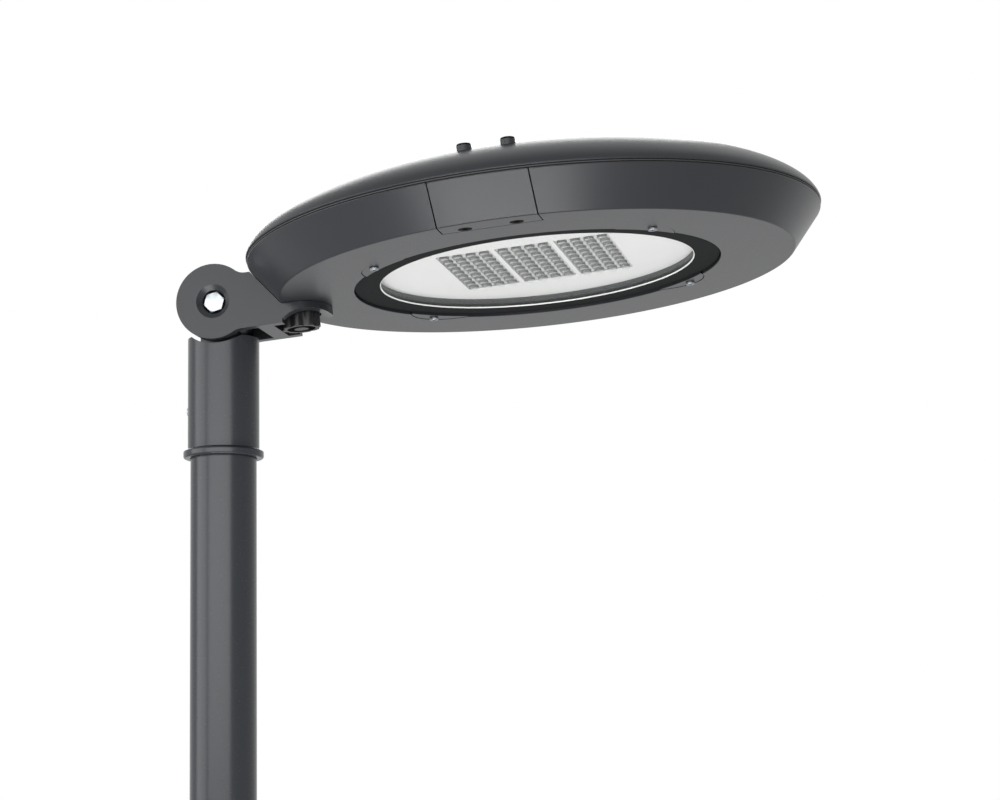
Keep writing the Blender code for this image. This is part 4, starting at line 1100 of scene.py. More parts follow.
def chamfered_nut(across: float, height: float, turn: float = 0.0, both: bool = True) -> Stock:
    """A hexagon whose corners are turned off at its faces.

    Args:
        across: width across flats.
        height: height along Z, from the origin.
        turn: angle of its first corner in degrees.
        both: whether its lower face is turned off too.

    Returns:
        The hexagon.
    """
    wide = across / math.sqrt(3)
    flat = across / 2 * 0.96
    drop = (wide - flat) * math.tan(math.radians(28))
    profile: Outline = [(0, height), (flat, height), (wide + 0.0002, height - drop)]
    profile += [(wide + 0.0002, drop), (flat, 0), (0, 0)] if both else [(wide + 0.0002, 0), (0, 0)]
    return Stock.pressed(hexagon(across, turn), 0, height).keep(Stock.turned(profile, 48))


def socket_screw(radius: float, height: float, shank: float, length: float, socket: float) -> Stock:
    """A screw that hangs from its head: the head from the origin up Z, the shank below it.

    Args:
        radius: radius of the head.
        height: height of the head.
        shank: radius of the shank.
        length: length of the shank.
        socket: width across flats of the key hole.

    Returns:
        The screw.
    """
    screw = Stock.lathed(
        [
            (0, height, 0), (radius, height, 0.45 * height), (radius, 0, 0.0002), (shank, 0, 0.0002),
            (shank, -length, 0.0005), (0, -length, 0),
        ],
        40,
    )
    return screw.cut(Stock.pressed(hexagon(socket), 0.35 * height, 2 * height))


@dataclass
class Shaft(Assembly):
    """The slim upper tube and the swaged step that carries it."""

    step_height: float = 0.075
    step_lip: float = 0.0025
    insert: float = 0.06
    wall: float = 0.003
    split: float = 3.3641
    top: float = 3.4497
    edge: float = 0.0006
    bead: float = 0.0011

    def build(self) -> None:
        """Builds the step, the shaft and the spigot on it."""
        low = SIZES.tube_top + SIZES.gap
        bore = SIZES.post_radius + SIZES.gap
        rim = bore + self.step_lip
        profile: Outline = []
        steps = 28
        for i in range(steps, -1, -1):
            swell = 0.5 + 0.5 * math.cos(math.pi * i / steps)
            profile.append((rim + (SIZES.tube_radius - rim) * swell, low + self.step_height * i / steps))
        profile += [(bore, low), (bore, low + self.step_height)]
        step = Stock.turned(profile, SIZES.tube_steps)
        self.piece(step, "swaged_step", Body.POST, COATED_TUBE, ["step_cone"], edge=self.edge)
        shaft = self.tube(SIZES.tube_top - self.insert, self.split - SIZES.gap)
        self.piece(shaft, "slim_tube", Body.POST, COATED_TUBE, ["post_shaft"])
        self.piece(self.tube(self.split, self.top), "spigot", Body.POST, COATED_TUBE, ["post_spigot"])
        seam = disc(self.bead, 12, (SIZES.tube_radius - 0.0002, SIZES.tube_top))
        lip = disc(self.bead + 0.0001, 12, (bore + self.edge, low + self.step_height))
        welds = Stock.gathered(Stock.turned(section, SIZES.tube_steps) for section in (seam, lip))
        self.piece(welds, "step_welds", Body.POST, COATED_TUBE)

    def tube(self, low: float, high: float) -> Stock:
        """A length of the slim tube."""
        section = ring_section(SIZES.post_radius - self.wall, SIZES.post_radius, low, high, self.edge)
        return Stock.lathed(section, SIZES.tube_steps)


@dataclass
class Knuckle(Assembly):
    """Sleeve on the post's top with its tongue, and the bolt that clamps the neck's cheeks to it."""

    radius: float = 0.0325
    play: float = 0.0003
    top: float = 0.0295
    roof: float = 0.050
    bottom: float = 0.132
    saddle: float = 0.0378
    tongue_radius: float = 0.028
    tongue_half: float = 0.0199
    stem_half: float = 0.016
    exit_start: float = 0.018
    exit_end: float = 0.026
    exit_half: float = 0.008
    exit_top: float = -0.027
    exit_over: float = 0.0007
    exit_corner: float = 0.002
    grub_drop: float = 0.095
    grub_radius: float = 0.004
    grub_end: float = 0.034
    grub_socket: float = 0.004
    grub_socket_depth: float = 0.0025
    collar_radius: float = 0.0365
    collar_height: float = 0.0072
    collar_round: float = 0.002
    disc_radius: float = 0.022
    disc_thick: float = 0.002
    teeth: int = 72
    tooth_depth: float = 0.0003
    bolt_radius: float = 0.005
    bolt_across: float = 0.017
    bolt_height: float = 0.0048
    bolt_turn: float = 10.0
    bolt_lap: float = 0.001
    bolt_pitch: float = 0.0015
    seat: float = 0.0271
    washer_low: float = 0.0253
    washer_radius: float = 0.0104
    washer_thick: float = 0.0015

    def build(self) -> None:
        """Builds the sleeve and what is on it."""
        self.build_sleeve()
        self.build_collar()
        self.build_grub_screws()
        self.build_discs()
        self.build_bolt()

    def build_sleeve(self) -> None:
        """Sleeve with a hollowed saddle, a tongue, a cable exit and two tapped holes."""
        bore = SIZES.post_radius + self.play
        sleeve = Stock.lathed(
            [
                (0, -self.top, 0), (self.radius, -self.top, 0), (self.radius, -self.bottom, 0.0009),
                (bore, -self.bottom, 0.0006), (bore, -self.roof, 0), (0, -self.roof, 0),
            ],
            SIZES.tube_steps,
        )
        wide = 2 * self.radius
        sleeve.cut(Stock.pressed(disc(self.saddle, 160), -wide, wide).moved(FACING_FRONT))
        drop = math.degrees(math.acos(self.stem_half / self.tongue_radius))
        root = -self.roof + (self.roof - self.top) / 4
        tongue = [(-self.stem_half, root), (self.stem_half, root)]
        tongue += arc((0, 0), self.tongue_radius, -drop, 180 + drop, 72)
        sleeve.join(Stock.pressed(tongue, -self.tongue_half, self.tongue_half).moved(FACING_FRONT))
        across = (-self.exit_half, self.exit_half)
        upright = (-self.roof - self.exit_over, self.exit_top)
        holes = [Stock.block((self.exit_start, self.exit_end), across, upright, self.exit_corner)]
        bolt = disc(self.bolt_radius + SIZES.hole_play, 40)
        holes.append(Stock.pressed(bolt, -2 * self.tongue_half, 2 * self.tongue_half).moved(FACING_FRONT))
        for place in self.grub_places():
            tapped = Stock.pressed(disc(self.grub_radius + SIZES.hole_play, 32), SIZES.post_radius / 2, wide)
            holes.append(tapped.moved(place))
        self.piece(
            sleeve.cut(*holes), "clamping_sleeve", Body.SLEEVE, COATED_SLEEVE, ["post_sleeve"],
            SIZES.axis(), edge=0.0006,
        )

    def grub_places(self) -> list[Matrix]:
        """Frames of the two grub screws, with Z outwards."""
        drop = Matrix.Translation((0, 0, -self.grub_drop))
        outwards = Matrix.Rotation(-math.pi / 2, 4, "X")
        return [drop @ Matrix.Rotation(turn, 4, "Z") @ outwards for turn in (0.0, math.pi / 2)]

    def build_collar(self) -> None:
        """Collar that closes the sleeve's lower end."""
        bore = SIZES.post_radius + self.play
        high = -self.bottom - SIZES.gap
        low = high - self.collar_height
        outer, soft = self.collar_radius, self.collar_round
        collar = Stock.lathed(
            [(outer, high, soft), (outer, low, soft), (bore, low, 0.0006), (bore, high, 0.0006)],
            SIZES.tube_steps, 8,
        )
        self.piece(collar, "turned_collar", Body.SLEEVE, COATED_SLEEVE, ["sleeve_collar"], SIZES.axis())

    def build_grub_screws(self) -> None:
        """Grub screws with a hexagon socket, proud of the sleeve."""
        for i, place in enumerate(self.grub_places()):
            low = SIZES.post_radius + SIZES.gap
            screw = Stock.lathed(disc_section(self.grub_radius, low, self.grub_end, 0.0006), 32)
            socket = hexagon(self.grub_socket)
            screw.cut(Stock.pressed(socket, self.grub_end - self.grub_socket_depth, 2 * self.grub_end))
            self.piece(
                screw, f"grub_screw_{i + 1}", Body.SLEEVE, BRIGHT_ZINC, [f"sleeve_grub_screw_{i + 1}"],
                SIZES.axis() @ place,
            )

    def build_discs(self) -> None:
        """Friction discs with radial teeth, one on each side of the tongue."""
        low = self.tongue_half + SIZES.gap
        high = low + self.disc_thick
        hole = self.bolt_radius + SIZES.hole_play
        outer = self.disc_radius

        def toothed(point: Vector) -> Vector:
            """Presses a tooth into every other facet of the outer face.

            Args:
                point: a point of the disc.

            Returns:
                Its new place.
            """
            ridge = math.cos(self.teeth * math.atan2(point.y, point.x))
            if point.z > (low + high) / 2 and ridge < 0:
                point.z -= self.tooth_depth
            return point

        for i, turn in enumerate((0.0, math.pi)):
            ring = Stock.lathed(
                [(hole, low, 0.0003), (outer, low, 0.0004), (outer, high, 0.0004), (hole, high, 0.0003)],
                2 * self.teeth,
            )
            self.piece(
                ring.shaped(toothed), f"toothed_disc_{i + 1}", Body.SLEEVE, MILLED,
                [f"friction_disc_{i + 1}"], SIZES.axis() @ FACING_FRONT @ Matrix.Rotation(turn, 4, "X"),
            )

    def build_bolt(self) -> None:
        """Hexagon bolt through the knuckle, with its nut and washers."""
        place = SIZES.pivot() @ FACING_FRONT
        head = chamfered_nut(self.bolt_across, self.bolt_height, self.bolt_turn, both=False)
        head.moved(Matrix.Translation((0, 0, self.seat)))
        end = self.seat + self.bolt_height + self.bolt_radius / 4
        shank = Stock.lathed(disc_section(self.bolt_radius, -self.seat, self.seat + self.bolt_lap, 0), 40)
        thread = threaded(self.bolt_radius, end - self.seat, self.bolt_pitch)
        thread.moved(Matrix.Translation((0, 0, -end)))
        bolt = Stock.gathered([head.join(shank), thread])
        self.piece(bolt, "hexagon_bolt", Body.HEAD, BRIGHT_ZINC, ["tilt_bolt"], place, edge=0.0003)
        nut = chamfered_nut(self.bolt_across, self.bolt_height)
        nut.drilled([(0, 0)], self.bolt_radius + SIZES.gap, (-1, 1), 40)
        far = place @ Matrix.Rotation(math.pi, 4, "X") @ Matrix.Translation((0, 0, self.seat))
        self.piece(nut, "hexagon_nut", Body.HEAD, BRIGHT_ZINC, ["tilt_nut"], far, edge=0.0002)
        hole, outer = self.bolt_radius + SIZES.hole_play, self.washer_radius
        low, high = self.washer_low, self.washer_low + self.washer_thick
        for i, turn in enumerate((0.0, math.pi)):
            # The washers' near-black is also painted shade in the funnels round the bolt
            washer = Stock.lathed(
                [(hole, low, 0.0002), (outer, low, 0.0003), (outer, high, 0.0005), (hole, high, 0.0002)], 64
            )
            self.piece(
                washer, f"bolt_washer_{i + 1}", Body.HEAD, BLACK_OXIDE_AND_SHADE, [f"tilt_washer_{i + 1}"],
                place @ Matrix.Rotation(turn, 4, "X"),
            )


@dataclass
class Neck(Assembly):
    """Arm of two cheeks that carries the head, and the knob that clamps the head to it."""

    hub_radius: float = 0.0345
    cheek_outer: float = 0.0355
    cheek_inner: float = 0.0225
    cheek_round: float = 0.0045
    top: float = 0.0223
    depth: float = 0.0285
    tip: float = 0.0998
    tip_round: float = 0.030
    fillet_top: float = 0.014
    fillet_low: float = 0.020
    wall: float = 0.0095
    web_under: float = -0.0143
    bar_high: float = 0.0525
    bar_low: float = 0.0380
    bar_thick: float = 0.008
    scoop_x: float = 0.0870
    scoop_top: float = 0.0167
    scoop_radius: float = 0.040
    scoop_start: float = 0.0240
    funnel_mouth: float = 0.0163
    funnel_bore: float = 0.0108
    funnel_cone: float = 0.004
    funnel_depth: float = 0.0105
    funnel_over: float = 0.0006
    bolt_hole: float = 0.0054
    knob_radius: float = 0.018
    knob_height: float = 0.0148
    knob_top: float = -0.0146
    knob_rim: float = 0.0022
    knob_boss: float = 0.0065
    knob_hollow: float = 0.007
    knob_over: float = 0.001
    stud_pitch: float = 0.00125
    flutes: int = 8
    flute_depth: float = 0.0028

    def build(self) -> None:
        """Builds the arm and the knob."""
        self.build_arm()
        self.build_knob()

    def level_fillet(self, level: float, radius: float) -> tuple[Point, float]:
        """Arc that leads from the hub's circle into a level edge.

        Args:
            level: height of the edge over the tilt axis.
            radius: radius of the arc.

        Returns:
            The arc's centre, and the angle in degrees where it leaves the hub.
        """
        height = level + math.copysign(radius, level)
        x = math.sqrt((self.hub_radius + radius) ** 2 - height**2)
        return (x, height), math.degrees(math.atan2(height, x))

    def outline(self) -> Outline:
        """Side view of a cheek."""
        top_centre, top_angle = self.level_fillet(self.top, self.fillet_top)
        low_centre, low_angle = self.level_fillet(-self.depth, self.fillet_low)
        points = arc((0, 0), self.hub_radius, top_angle, 360 + low_angle, 84)
        points += arc(low_centre, self.fillet_low, 180 + low_angle, 90, 12)[1:]
        points += [(self.tip, -self.depth), (self.tip, self.top)]
        points += arc(top_centre, self.fillet_top, -90, top_angle - 180, 14)[:-1]
        return points

    def build_arm(self) -> None:
        """Cast arm, hooked under the head and slotted for the knuckle's tongue."""
        outer = self.cheek_outer
        arm = Stock.pressed(self.outline(), -outer, outer).moved(FACING_FRONT)
        start = -2 * self.hub_radius
        plan = softened(
            [
                (self.tip, outer, self.tip_round), (start, outer, 0), (start, -outer, 0),
                (self.tip, -outer, self.tip_round),
            ],
            20,
        )
        arm.keep(Stock.pressed(plan, -1, 1)).rounded(self.cheek_round, 6)
        shell = SIZES.head_radius + 2 * SIZES.gap
        envelope = Stock.turned(
            [
                (0, SIZES.dome_height), (shell, SIZES.dome_height), (shell, SIZES.body_height),
                (SIZES.foot_radius + SIZES.gap, -SIZES.gap), (0, -SIZES.gap),
            ],
            208,
        )
        arm.cut(envelope.moved(Matrix.Translation((SIZES.head_reach, 0, -SIZES.head_drop))))
        inner = self.cheek_inner
        slot = Stock.block((start, self.hub_radius + 2 * SIZES.gap), (-inner, inner), (start, -start))
        half = outer - self.wall
        pocket = [(self.hub_radius / 2, -half)]
        pocket += arc((self.tip - self.wall - half, 0), half, -90, 90, 40) + [(self.hub_radius / 2, half)]
        arm.cut(slot)
        arm.cut(Stock.pressed(pocket, -2 * self.depth, self.web_under))
        bar_half = half + self.wall / 2
        upright = (-self.depth, self.bar_thick - self.depth)
        arm.join(Stock.block((self.bar_low, self.bar_high), (-bar_half, bar_half), upright))
        spread = math.degrees(math.asin(self.scoop_start / self.scoop_radius))
        middle = (self.scoop_x, -self.scoop_top - self.scoop_radius)
        scoop = arc(middle, self.scoop_radius, 90 - spread, 90 + spread, 40)
        scoop += [(scoop[-1][0], -2 * self.depth), (scoop[0][0], -2 * self.depth)]
        arm.cut(Stock.pressed(scoop, -2 * outer, 2 * outer).moved(FACING_FRONT))
        tools = []
        mouth, cone, seat = outer + self.funnel_over, outer - self.funnel_cone, outer - self.funnel_depth
        for turn in (0.0, math.pi):
            funnel = Stock.lathed(
                [
                    (0, mouth, 0), (self.funnel_mouth, mouth, 0), (self.funnel_bore, cone, 0.0006),
                    (self.funnel_bore, seat, 0), (0, seat, 0),
                ],
                72,
            )
            tools.append(funnel.moved(FACING_FRONT @ Matrix.Rotation(turn, 4, "X")))
        arm.cut(*tools)
        bolt = Stock.pressed(disc(self.bolt_hole, 40), -2 * outer, 2 * outer).moved(FACING_FRONT)
        stud = disc(SIZES.stud_radius + SIZES.hole_play, 32, (SIZES.knob_x, 0))
        arm.cut(bolt, Stock.pressed(stud, 2 * self.web_under, 0))
        self.piece(arm, "cast_neck", Body.HEAD, COATED_CASTING, ["neck_arm"], SIZES.pivot(), edge=0.0007)

    def build_knob(self) -> None:
        """Fluted knob, hollow from below, and its threaded stud."""
        points = 16 * self.flutes
        outline = []
        for i in range(points):
            wave = 0.5 - 0.5 * math.cos(2 * math.pi * i * self.flutes / points)
            radius = self.knob_radius - self.flute_depth * wave**1.5
            angle = 2 * math.pi * i / points
            outline.append((radius * math.cos(angle), radius * math.sin(angle)))
        knob = Stock.pressed(outline, -self.knob_height, 0)
        low, wide = -self.knob_height, self.knob_radius + 0.0001
        crown = Stock.lathed([(0, low, 0), (wide, low, 0.0016), (wide, 0, 0.0010), (0, 0, 0)], 96, 6)
        hollow, boss = self.knob_radius - self.flute_depth - self.knob_rim, self.knob_boss
        under, roof = low - self.knob_over, low + self.knob_hollow
        groove = [(boss, under, 0), (hollow, under, 0), (hollow, roof, 0.0012), (boss, roof, 0.0012)]
        knob.keep(crown).cut(Stock.lathed(groove, 64))
        reach = SIZES.stud_reach - SIZES.head_drop - self.knob_top
        stud = threaded(SIZES.stud_radius, reach + self.knob_height / 2, self.stud_pitch)
        stud.moved(Matrix.Translation((0, 0, -self.knob_height / 2)))
        place = SIZES.pivot() @ Matrix.Translation((SIZES.knob_x, 0, self.knob_top))
        both = Stock.gathered([knob, stud])
        self.piece(both, "fluted_knob", Body.LOCK_KNOB, NYLON, ["lock_knob"], place, edge=0.0004)


@dataclass
class HeadShell(Assembly):
    """Flaring pan of the head, its service door, and the domed cover over both."""

    door_half: float = 0.043
    joint: float = 0.0005
    door_edge: float = 0.206
    door_lip: float = 0.0032
    door_seat: float = 0.0020
    door_head: float = 0.0056
    door_shank: float = 0.0022
    shelf_edge: float = 0.2235
    pillar_radius: float = 0.004
    pillar_drop: float = 0.0035
    pillar_lap: float = 0.0015
    pocket_play: float = 0.0006
    cover_screw_reach: float = 0.22064
    cover_head: float = 0.0060
    cover_head_height: float = 0.0014
    cover_shank: float = 0.0025
    pad_radius: float = 0.0063
    pad_proud: float = 0.0025
    socket: float = 0.005
    rim_round: float = 0.0012
    gasket_width: float = 0.0045
    gasket_inset: float = 0.001
    foot_round: float = 0.0022

    def build(self) -> None:
        """Builds the shell."""
        self.build_pan()
        self.build_door()
        self.build_cover()
        self.build_gasket()

    def pillar_top(self) -> float:
        """Height of the screw pillars, just under the cover."""
        return SIZES.dome(self.cover_screw_reach + self.pillar_radius, SIZES.cover_wall) - self.pillar_drop

    def wall(self, inwards: list[Triple], floor: float) -> Stock:
        """The flaring wall of the head with what lies inwards of its foot.

        Args:
            inwards: corners from the foot's inner end to the floor's.
            floor: thickness of the floor at the wall.

        Returns:
            The turned shape.
        """
        outer = [(SIZES.head_radius, SIZES.body_height, 0.0009), (SIZES.foot_radius, 0, self.foot_round)]
        inner = [
            (SIZES.foot_radius - SIZES.body_wall, floor, 0.002),
            (SIZES.head_radius - SIZES.body_wall, SIZES.body_height, 0.0009),
        ]
        return Stock.lathed(outer + inwards + inner, SIZES.round_steps)

    def build_pan(self) -> None:
        """Cast pan with the window's flange, ear pockets, shelf and screw pillars."""
        floor, low, top = SIZES.body_floor, SIZES.flange_low, SIZES.flange_top
        pan = self.wall(
            [
                (SIZES.recess_radius, 0, 0.0006), (SIZES.recess_radius, low, 0.0003),
                (SIZES.window_radius, low, 0.0004), (SIZES.window_radius, top, 0.0004),
                (SIZES.ring_outer, top, 0.0008), (SIZES.ring_outer, floor, 0.001),
            ],
            floor,
        )
        pan.cut(self.door_space(self.joint))
        half = self.door_half - floor
        upright = (self.door_lip + SIZES.gap, SIZES.shelf_top)
        pan.join(Stock.block((-half, half), (-self.shelf_edge, floor - SIZES.ring_outer), upright))
        knob_at = (SIZES.knob_x - SIZES.head_reach, 0.0)
        posts = []
        for x, y in SIZES.cover_screws():
            root = floor / 2 if y > 0 else SIZES.shelf_top - self.pillar_lap
            posts.append(Stock.pressed(disc(self.pillar_radius, 24, (x, y)), root, self.pillar_top()))
        boss = disc(SIZES.stud_radius + floor, 32, knob_at)
        posts.append(Stock.pressed(boss, floor / 2, SIZES.stud_reach))
        pan.join(Stock.gathered(posts))
        pocket_top = SIZES.frame_recess + SIZES.frame_lip + SIZES.gap
        pocket = SIZES.ear_radius + self.pocket_play
        pan.drilled(SIZES.ears(SIZES.ear_centre), pocket, (-floor, pocket_top), 96)
        over_shelf = SIZES.shelf_top + floor
        frame_end = SIZES.frame_screw_length + SIZES.gap
        bores = [
            (SIZES.ears(SIZES.ear_screw_at), SIZES.frame_screw, -floor, frame_end, 20),
            (SIZES.door_screws(), self.door_shank, 0, over_shelf, 20),
            (SIZES.cover_screws(), self.cover_shank, over_shelf, 2 * SIZES.dome_height, 20),
            ([knob_at], SIZES.stud_radius, -floor, 2 * SIZES.stud_reach, 24),
        ]
        pan.cut(
            *(
                Stock.pressed(disc(radius + SIZES.hole_play, steps, at), start, end)
                for places, radius, start, end, steps in bores for at in places
            )
        )
        self.piece(pan, "cast_pan", Body.HEAD, COATED_CASTING, ["lower_body"], SIZES.head(), edge=0.0004)

    def door_space(self, play: float) -> Stock:
        """Block that takes in the service door.

        Args:
            play: how far it reaches past the door on each side.

        Returns:
            The block.
        """
        half = self.door_half + play
        tall = (-SIZES.body_height, 2 * SIZES.body_height)
        return Stock.block((-half, half), (-2 * SIZES.head_radius, -self.door_edge + play), tall)

    def build_door(self) -> None:
        """Lid in the pan's side with a lip under the head, and its two sunk screws."""
        lip = self.door_lip
        door = self.wall([(SIZES.ring_outer, 0, 0), (SIZES.ring_outer, lip, 0)], lip)
        door.keep(self.door_space(-SIZES.lid_play))
        play, at = SIZES.hole_play, SIZES.door_screws()
        door.drilled(at, self.door_head + play, (-SIZES.body_floor, self.door_seat), 40)
        door.drilled(at, self.door_shank + play, (0, 2 * lip))
        self.piece(
            door, "side_lid", Body.SERVICE_DOOR, COATED_CASTING, ["service_door"], SIZES.head(), edge=0.0005
        )
        height = self.door_seat - SIZES.gap
        length = SIZES.shelf_top - SIZES.gap - height
        for i, (x, y) in enumerate(at):
            screw = socket_screw(self.door_head, height, self.door_shank, length, self.socket)
            # The lid screws' near-black is also painted shade of their deep seats
            self.piece(
                screw, f"lid_screw_{i + 1}", Body.SERVICE_DOOR, BLACK_OXIDE_AND_SHADE, [f"service_door_screw_{i + 1}"],
                SIZES.head() @ Matrix.Translation((x, y, height)) @ HANGING,
            )

    def build_cover(self) -> None:
        """Domed shell with a pad under each of its four screws."""
        skins: list[Outline] = []
        for inset, steps in ((0.0, 72), (SIZES.cover_wall, 40)):
            skin = []
            for i in range(steps + 1):
                radius = (SIZES.head_radius - inset) * math.sin(math.pi / 2 * i / steps)
                skin.append((radius, SIZES.dome(radius, inset)))
            skins.append(skin)
        corner = self.rim_round
        rim = arc((SIZES.head_radius - corner, SIZES.seam_top + corner), corner, 0, -90, 4)
        outer = [p for p in skins[0] if p[1] > SIZES.seam_top + corner]
        cover = Stock.turned(outer + rim + skins[1][::-1], SIZES.round_steps)
        low = SIZES.dome(self.cover_screw_reach + self.pad_radius, SIZES.cover_wall) + SIZES.cover_wall / 2
        high = SIZES.dome(self.cover_screw_reach) + self.pad_proud
        pads = [Stock.pressed(disc(self.pad_radius, 40, at), low, high) for at in SIZES.cover_screws()]
        cover.join(Stock.gathered(pads))
        shank = self.cover_shank
        cover.drilled(SIZES.cover_screws(), shank + SIZES.hole_play, (SIZES.body_height, 2 * high))
        self.piece(cover, "domed_cover", Body.HEAD, COATED_CASTING, ["top_cover"], SIZES.head(), edge=0.0006)
        seat = high + SIZES.gap
        length = seat - self.pillar_top() / 2
        for i, (x, y) in enumerate(SIZES.cover_screws()):
            screw = socket_screw(self.cover_head, self.cover_head_height, shank, length, self.socket)
            place = SIZES.head() @ Matrix.Translation((x, y, seat))
            self.piece(screw, f"lid_stud_{i + 1}", Body.HEAD, BLACK_OXIDE_AND_SHADE, [f"cover_screw_{i + 1}"], place)

    def build_gasket(self) -> None:
        """Rubber ring between pan and cover."""
        outer = SIZES.head_radius - self.gasket_inset
        inner = outer - self.gasket_width
        low, high = SIZES.body_height + SIZES.gap, SIZES.seam_top - SIZES.gap
        ring = Stock.lathed(ring_section(inner, outer, low, high, 0.0005), SIZES.round_steps)
        self.piece(ring, "seam_gasket", Body.HEAD, RUBBER, ["cover_gasket"], SIZES.head())


@dataclass
class Window(Assembly):
    """Round glass in the underside with its frame ring, gasket and four screws."""

    glass_radius: float = 0.151
    glass_low: float = 0.0042
    glass_thick: float = 0.003
    gasket_outer: float = 0.1495
    gasket_thick: float = 0.0008
    screw_head: float = 0.0042
    screw_height: float = 0.0022
    screw_socket: float = 0.0028
    ear_root: float = 0.0015
    bead: float = 0.0013

    def build(self) -> None:
        """Builds the window."""
        self.build_frame()
        self.build_glass()
        self.build_bead()
        self.build_screws()

    def build_frame(self) -> None:
        """Frame ring with four ears that lie flush in the underside."""
        outer = SIZES.recess_radius - SIZES.gap - SIZES.lid_play
        inner = SIZES.window_radius - SIZES.frame_lip
        lip_top = SIZES.frame_recess + SIZES.frame_lip
        top = SIZES.flange_low - SIZES.gap
        groove, low = self.glass_radius + SIZES.gap, SIZES.frame_recess
        ring = Stock.lathed(
            [
                (outer, top, 0.0003), (outer, low, 0.0004), (inner, low, 0.0005),
                (inner, lip_top, 0.0003), (groove, lip_top, 0.0002), (groove, top, 0.0003),
            ],
            SIZES.round_steps,
        )
        self.piece(ring, "window_bezel", Body.HEAD, BLACK_COAT, ["glass_frame"], SIZES.head())
        ears = Stock.gathered(
            Stock.pressed(self.ear_outline(turn, outer - self.ear_root), SIZES.gap, lip_top - SIZES.gap)
            for turn in SIZES.ear_turns()
        )
        through = (-SIZES.body_floor, SIZES.flange_top)
        ears.drilled(SIZES.ears(SIZES.ear_screw_at), SIZES.frame_screw + SIZES.hole_play, through)
        self.piece(ears, "bezel_ears", Body.HEAD, COATED_CASTING, place=SIZES.head(), edge=0.0002)

    def ear_outline(self, turn: float, root: float) -> Outline:
        """Part of an ear's disc that lies outside a circle round the window.

        Args:
            turn: direction of the ear in degrees.
            root: radius of the circle.

        Returns:
            The outline.
        """
        centre, radius = SIZES.ear_centre, SIZES.ear_radius
        cosine = (root**2 + centre**2 - radius**2) / (2 * root * centre)
        half = math.degrees(math.acos(cosine))
        spread = math.degrees(math.atan2(root * math.sqrt(1 - cosine**2), root * cosine - centre))
        middle = (centre * math.cos(math.radians(turn)), centre * math.sin(math.radians(turn)))
        points = arc(middle, radius, turn - spread, turn + spread, 48)
        return points + arc((0, 0), root, turn + half, turn - half, 16)

    def build_glass(self) -> None:
        """Glass disc with ground edges, and the gasket over it."""
        high = self.glass_low + self.glass_thick
        pane = disc_section(self.glass_radius, self.glass_low, high, 0.0007)
        glass = Stock.lathed(pane, SIZES.round_steps)
        self.piece(glass, "window_pane", Body.HEAD, GLASS, ["window_glass"], SIZES.head())
        low = high + SIZES.gap
        section = ring_section(SIZES.window_radius, self.gasket_outer, low, low + self.gasket_thick, 0.0002)
        seal = Stock.lathed(section, SIZES.round_steps)
        self.piece(seal, "pane_gasket", Body.HEAD, RUBBER, ["glass_gasket"], SIZES.head())

    def build_bead(self) -> None:
        """Bead of silicone in the corner between pane and bezel, whose pale tone is also a painted highlight
        along the pane's edge.
        """
        outer = SIZES.window_radius - SIZES.frame_lip - SIZES.gap / 3
        low, high = self.glass_low - 1.2 * self.bead, self.glass_low - SIZES.gap / 3
        section = [(outer, high, 0), (outer, low, 0.0002), (outer - self.bead, high, 0.0002)]
        bead = Stock.lathed(section, SIZES.round_steps)
        self.piece(bead, "pane_bead", Body.HEAD, SILICONE_AND_EDGE_HIGHLIGHT, place=SIZES.head())

    def build_screws(self) -> None:
        """Pan-head screws in the ears."""
        shank, length = SIZES.frame_screw, SIZES.frame_screw_length
        for i, (x, y) in enumerate(SIZES.ears(SIZES.ear_screw_at)):
            screw = socket_screw(self.screw_head, self.screw_height, shank, length, self.screw_socket)
            self.piece(
                screw, f"window_screw_{i + 1}", Body.HEAD, BRIGHT_ZINC, [f"frame_screw_{i + 1}"],
                SIZES.head() @ Matrix.Translation((x, y, 0)) @ HANGING,
            )


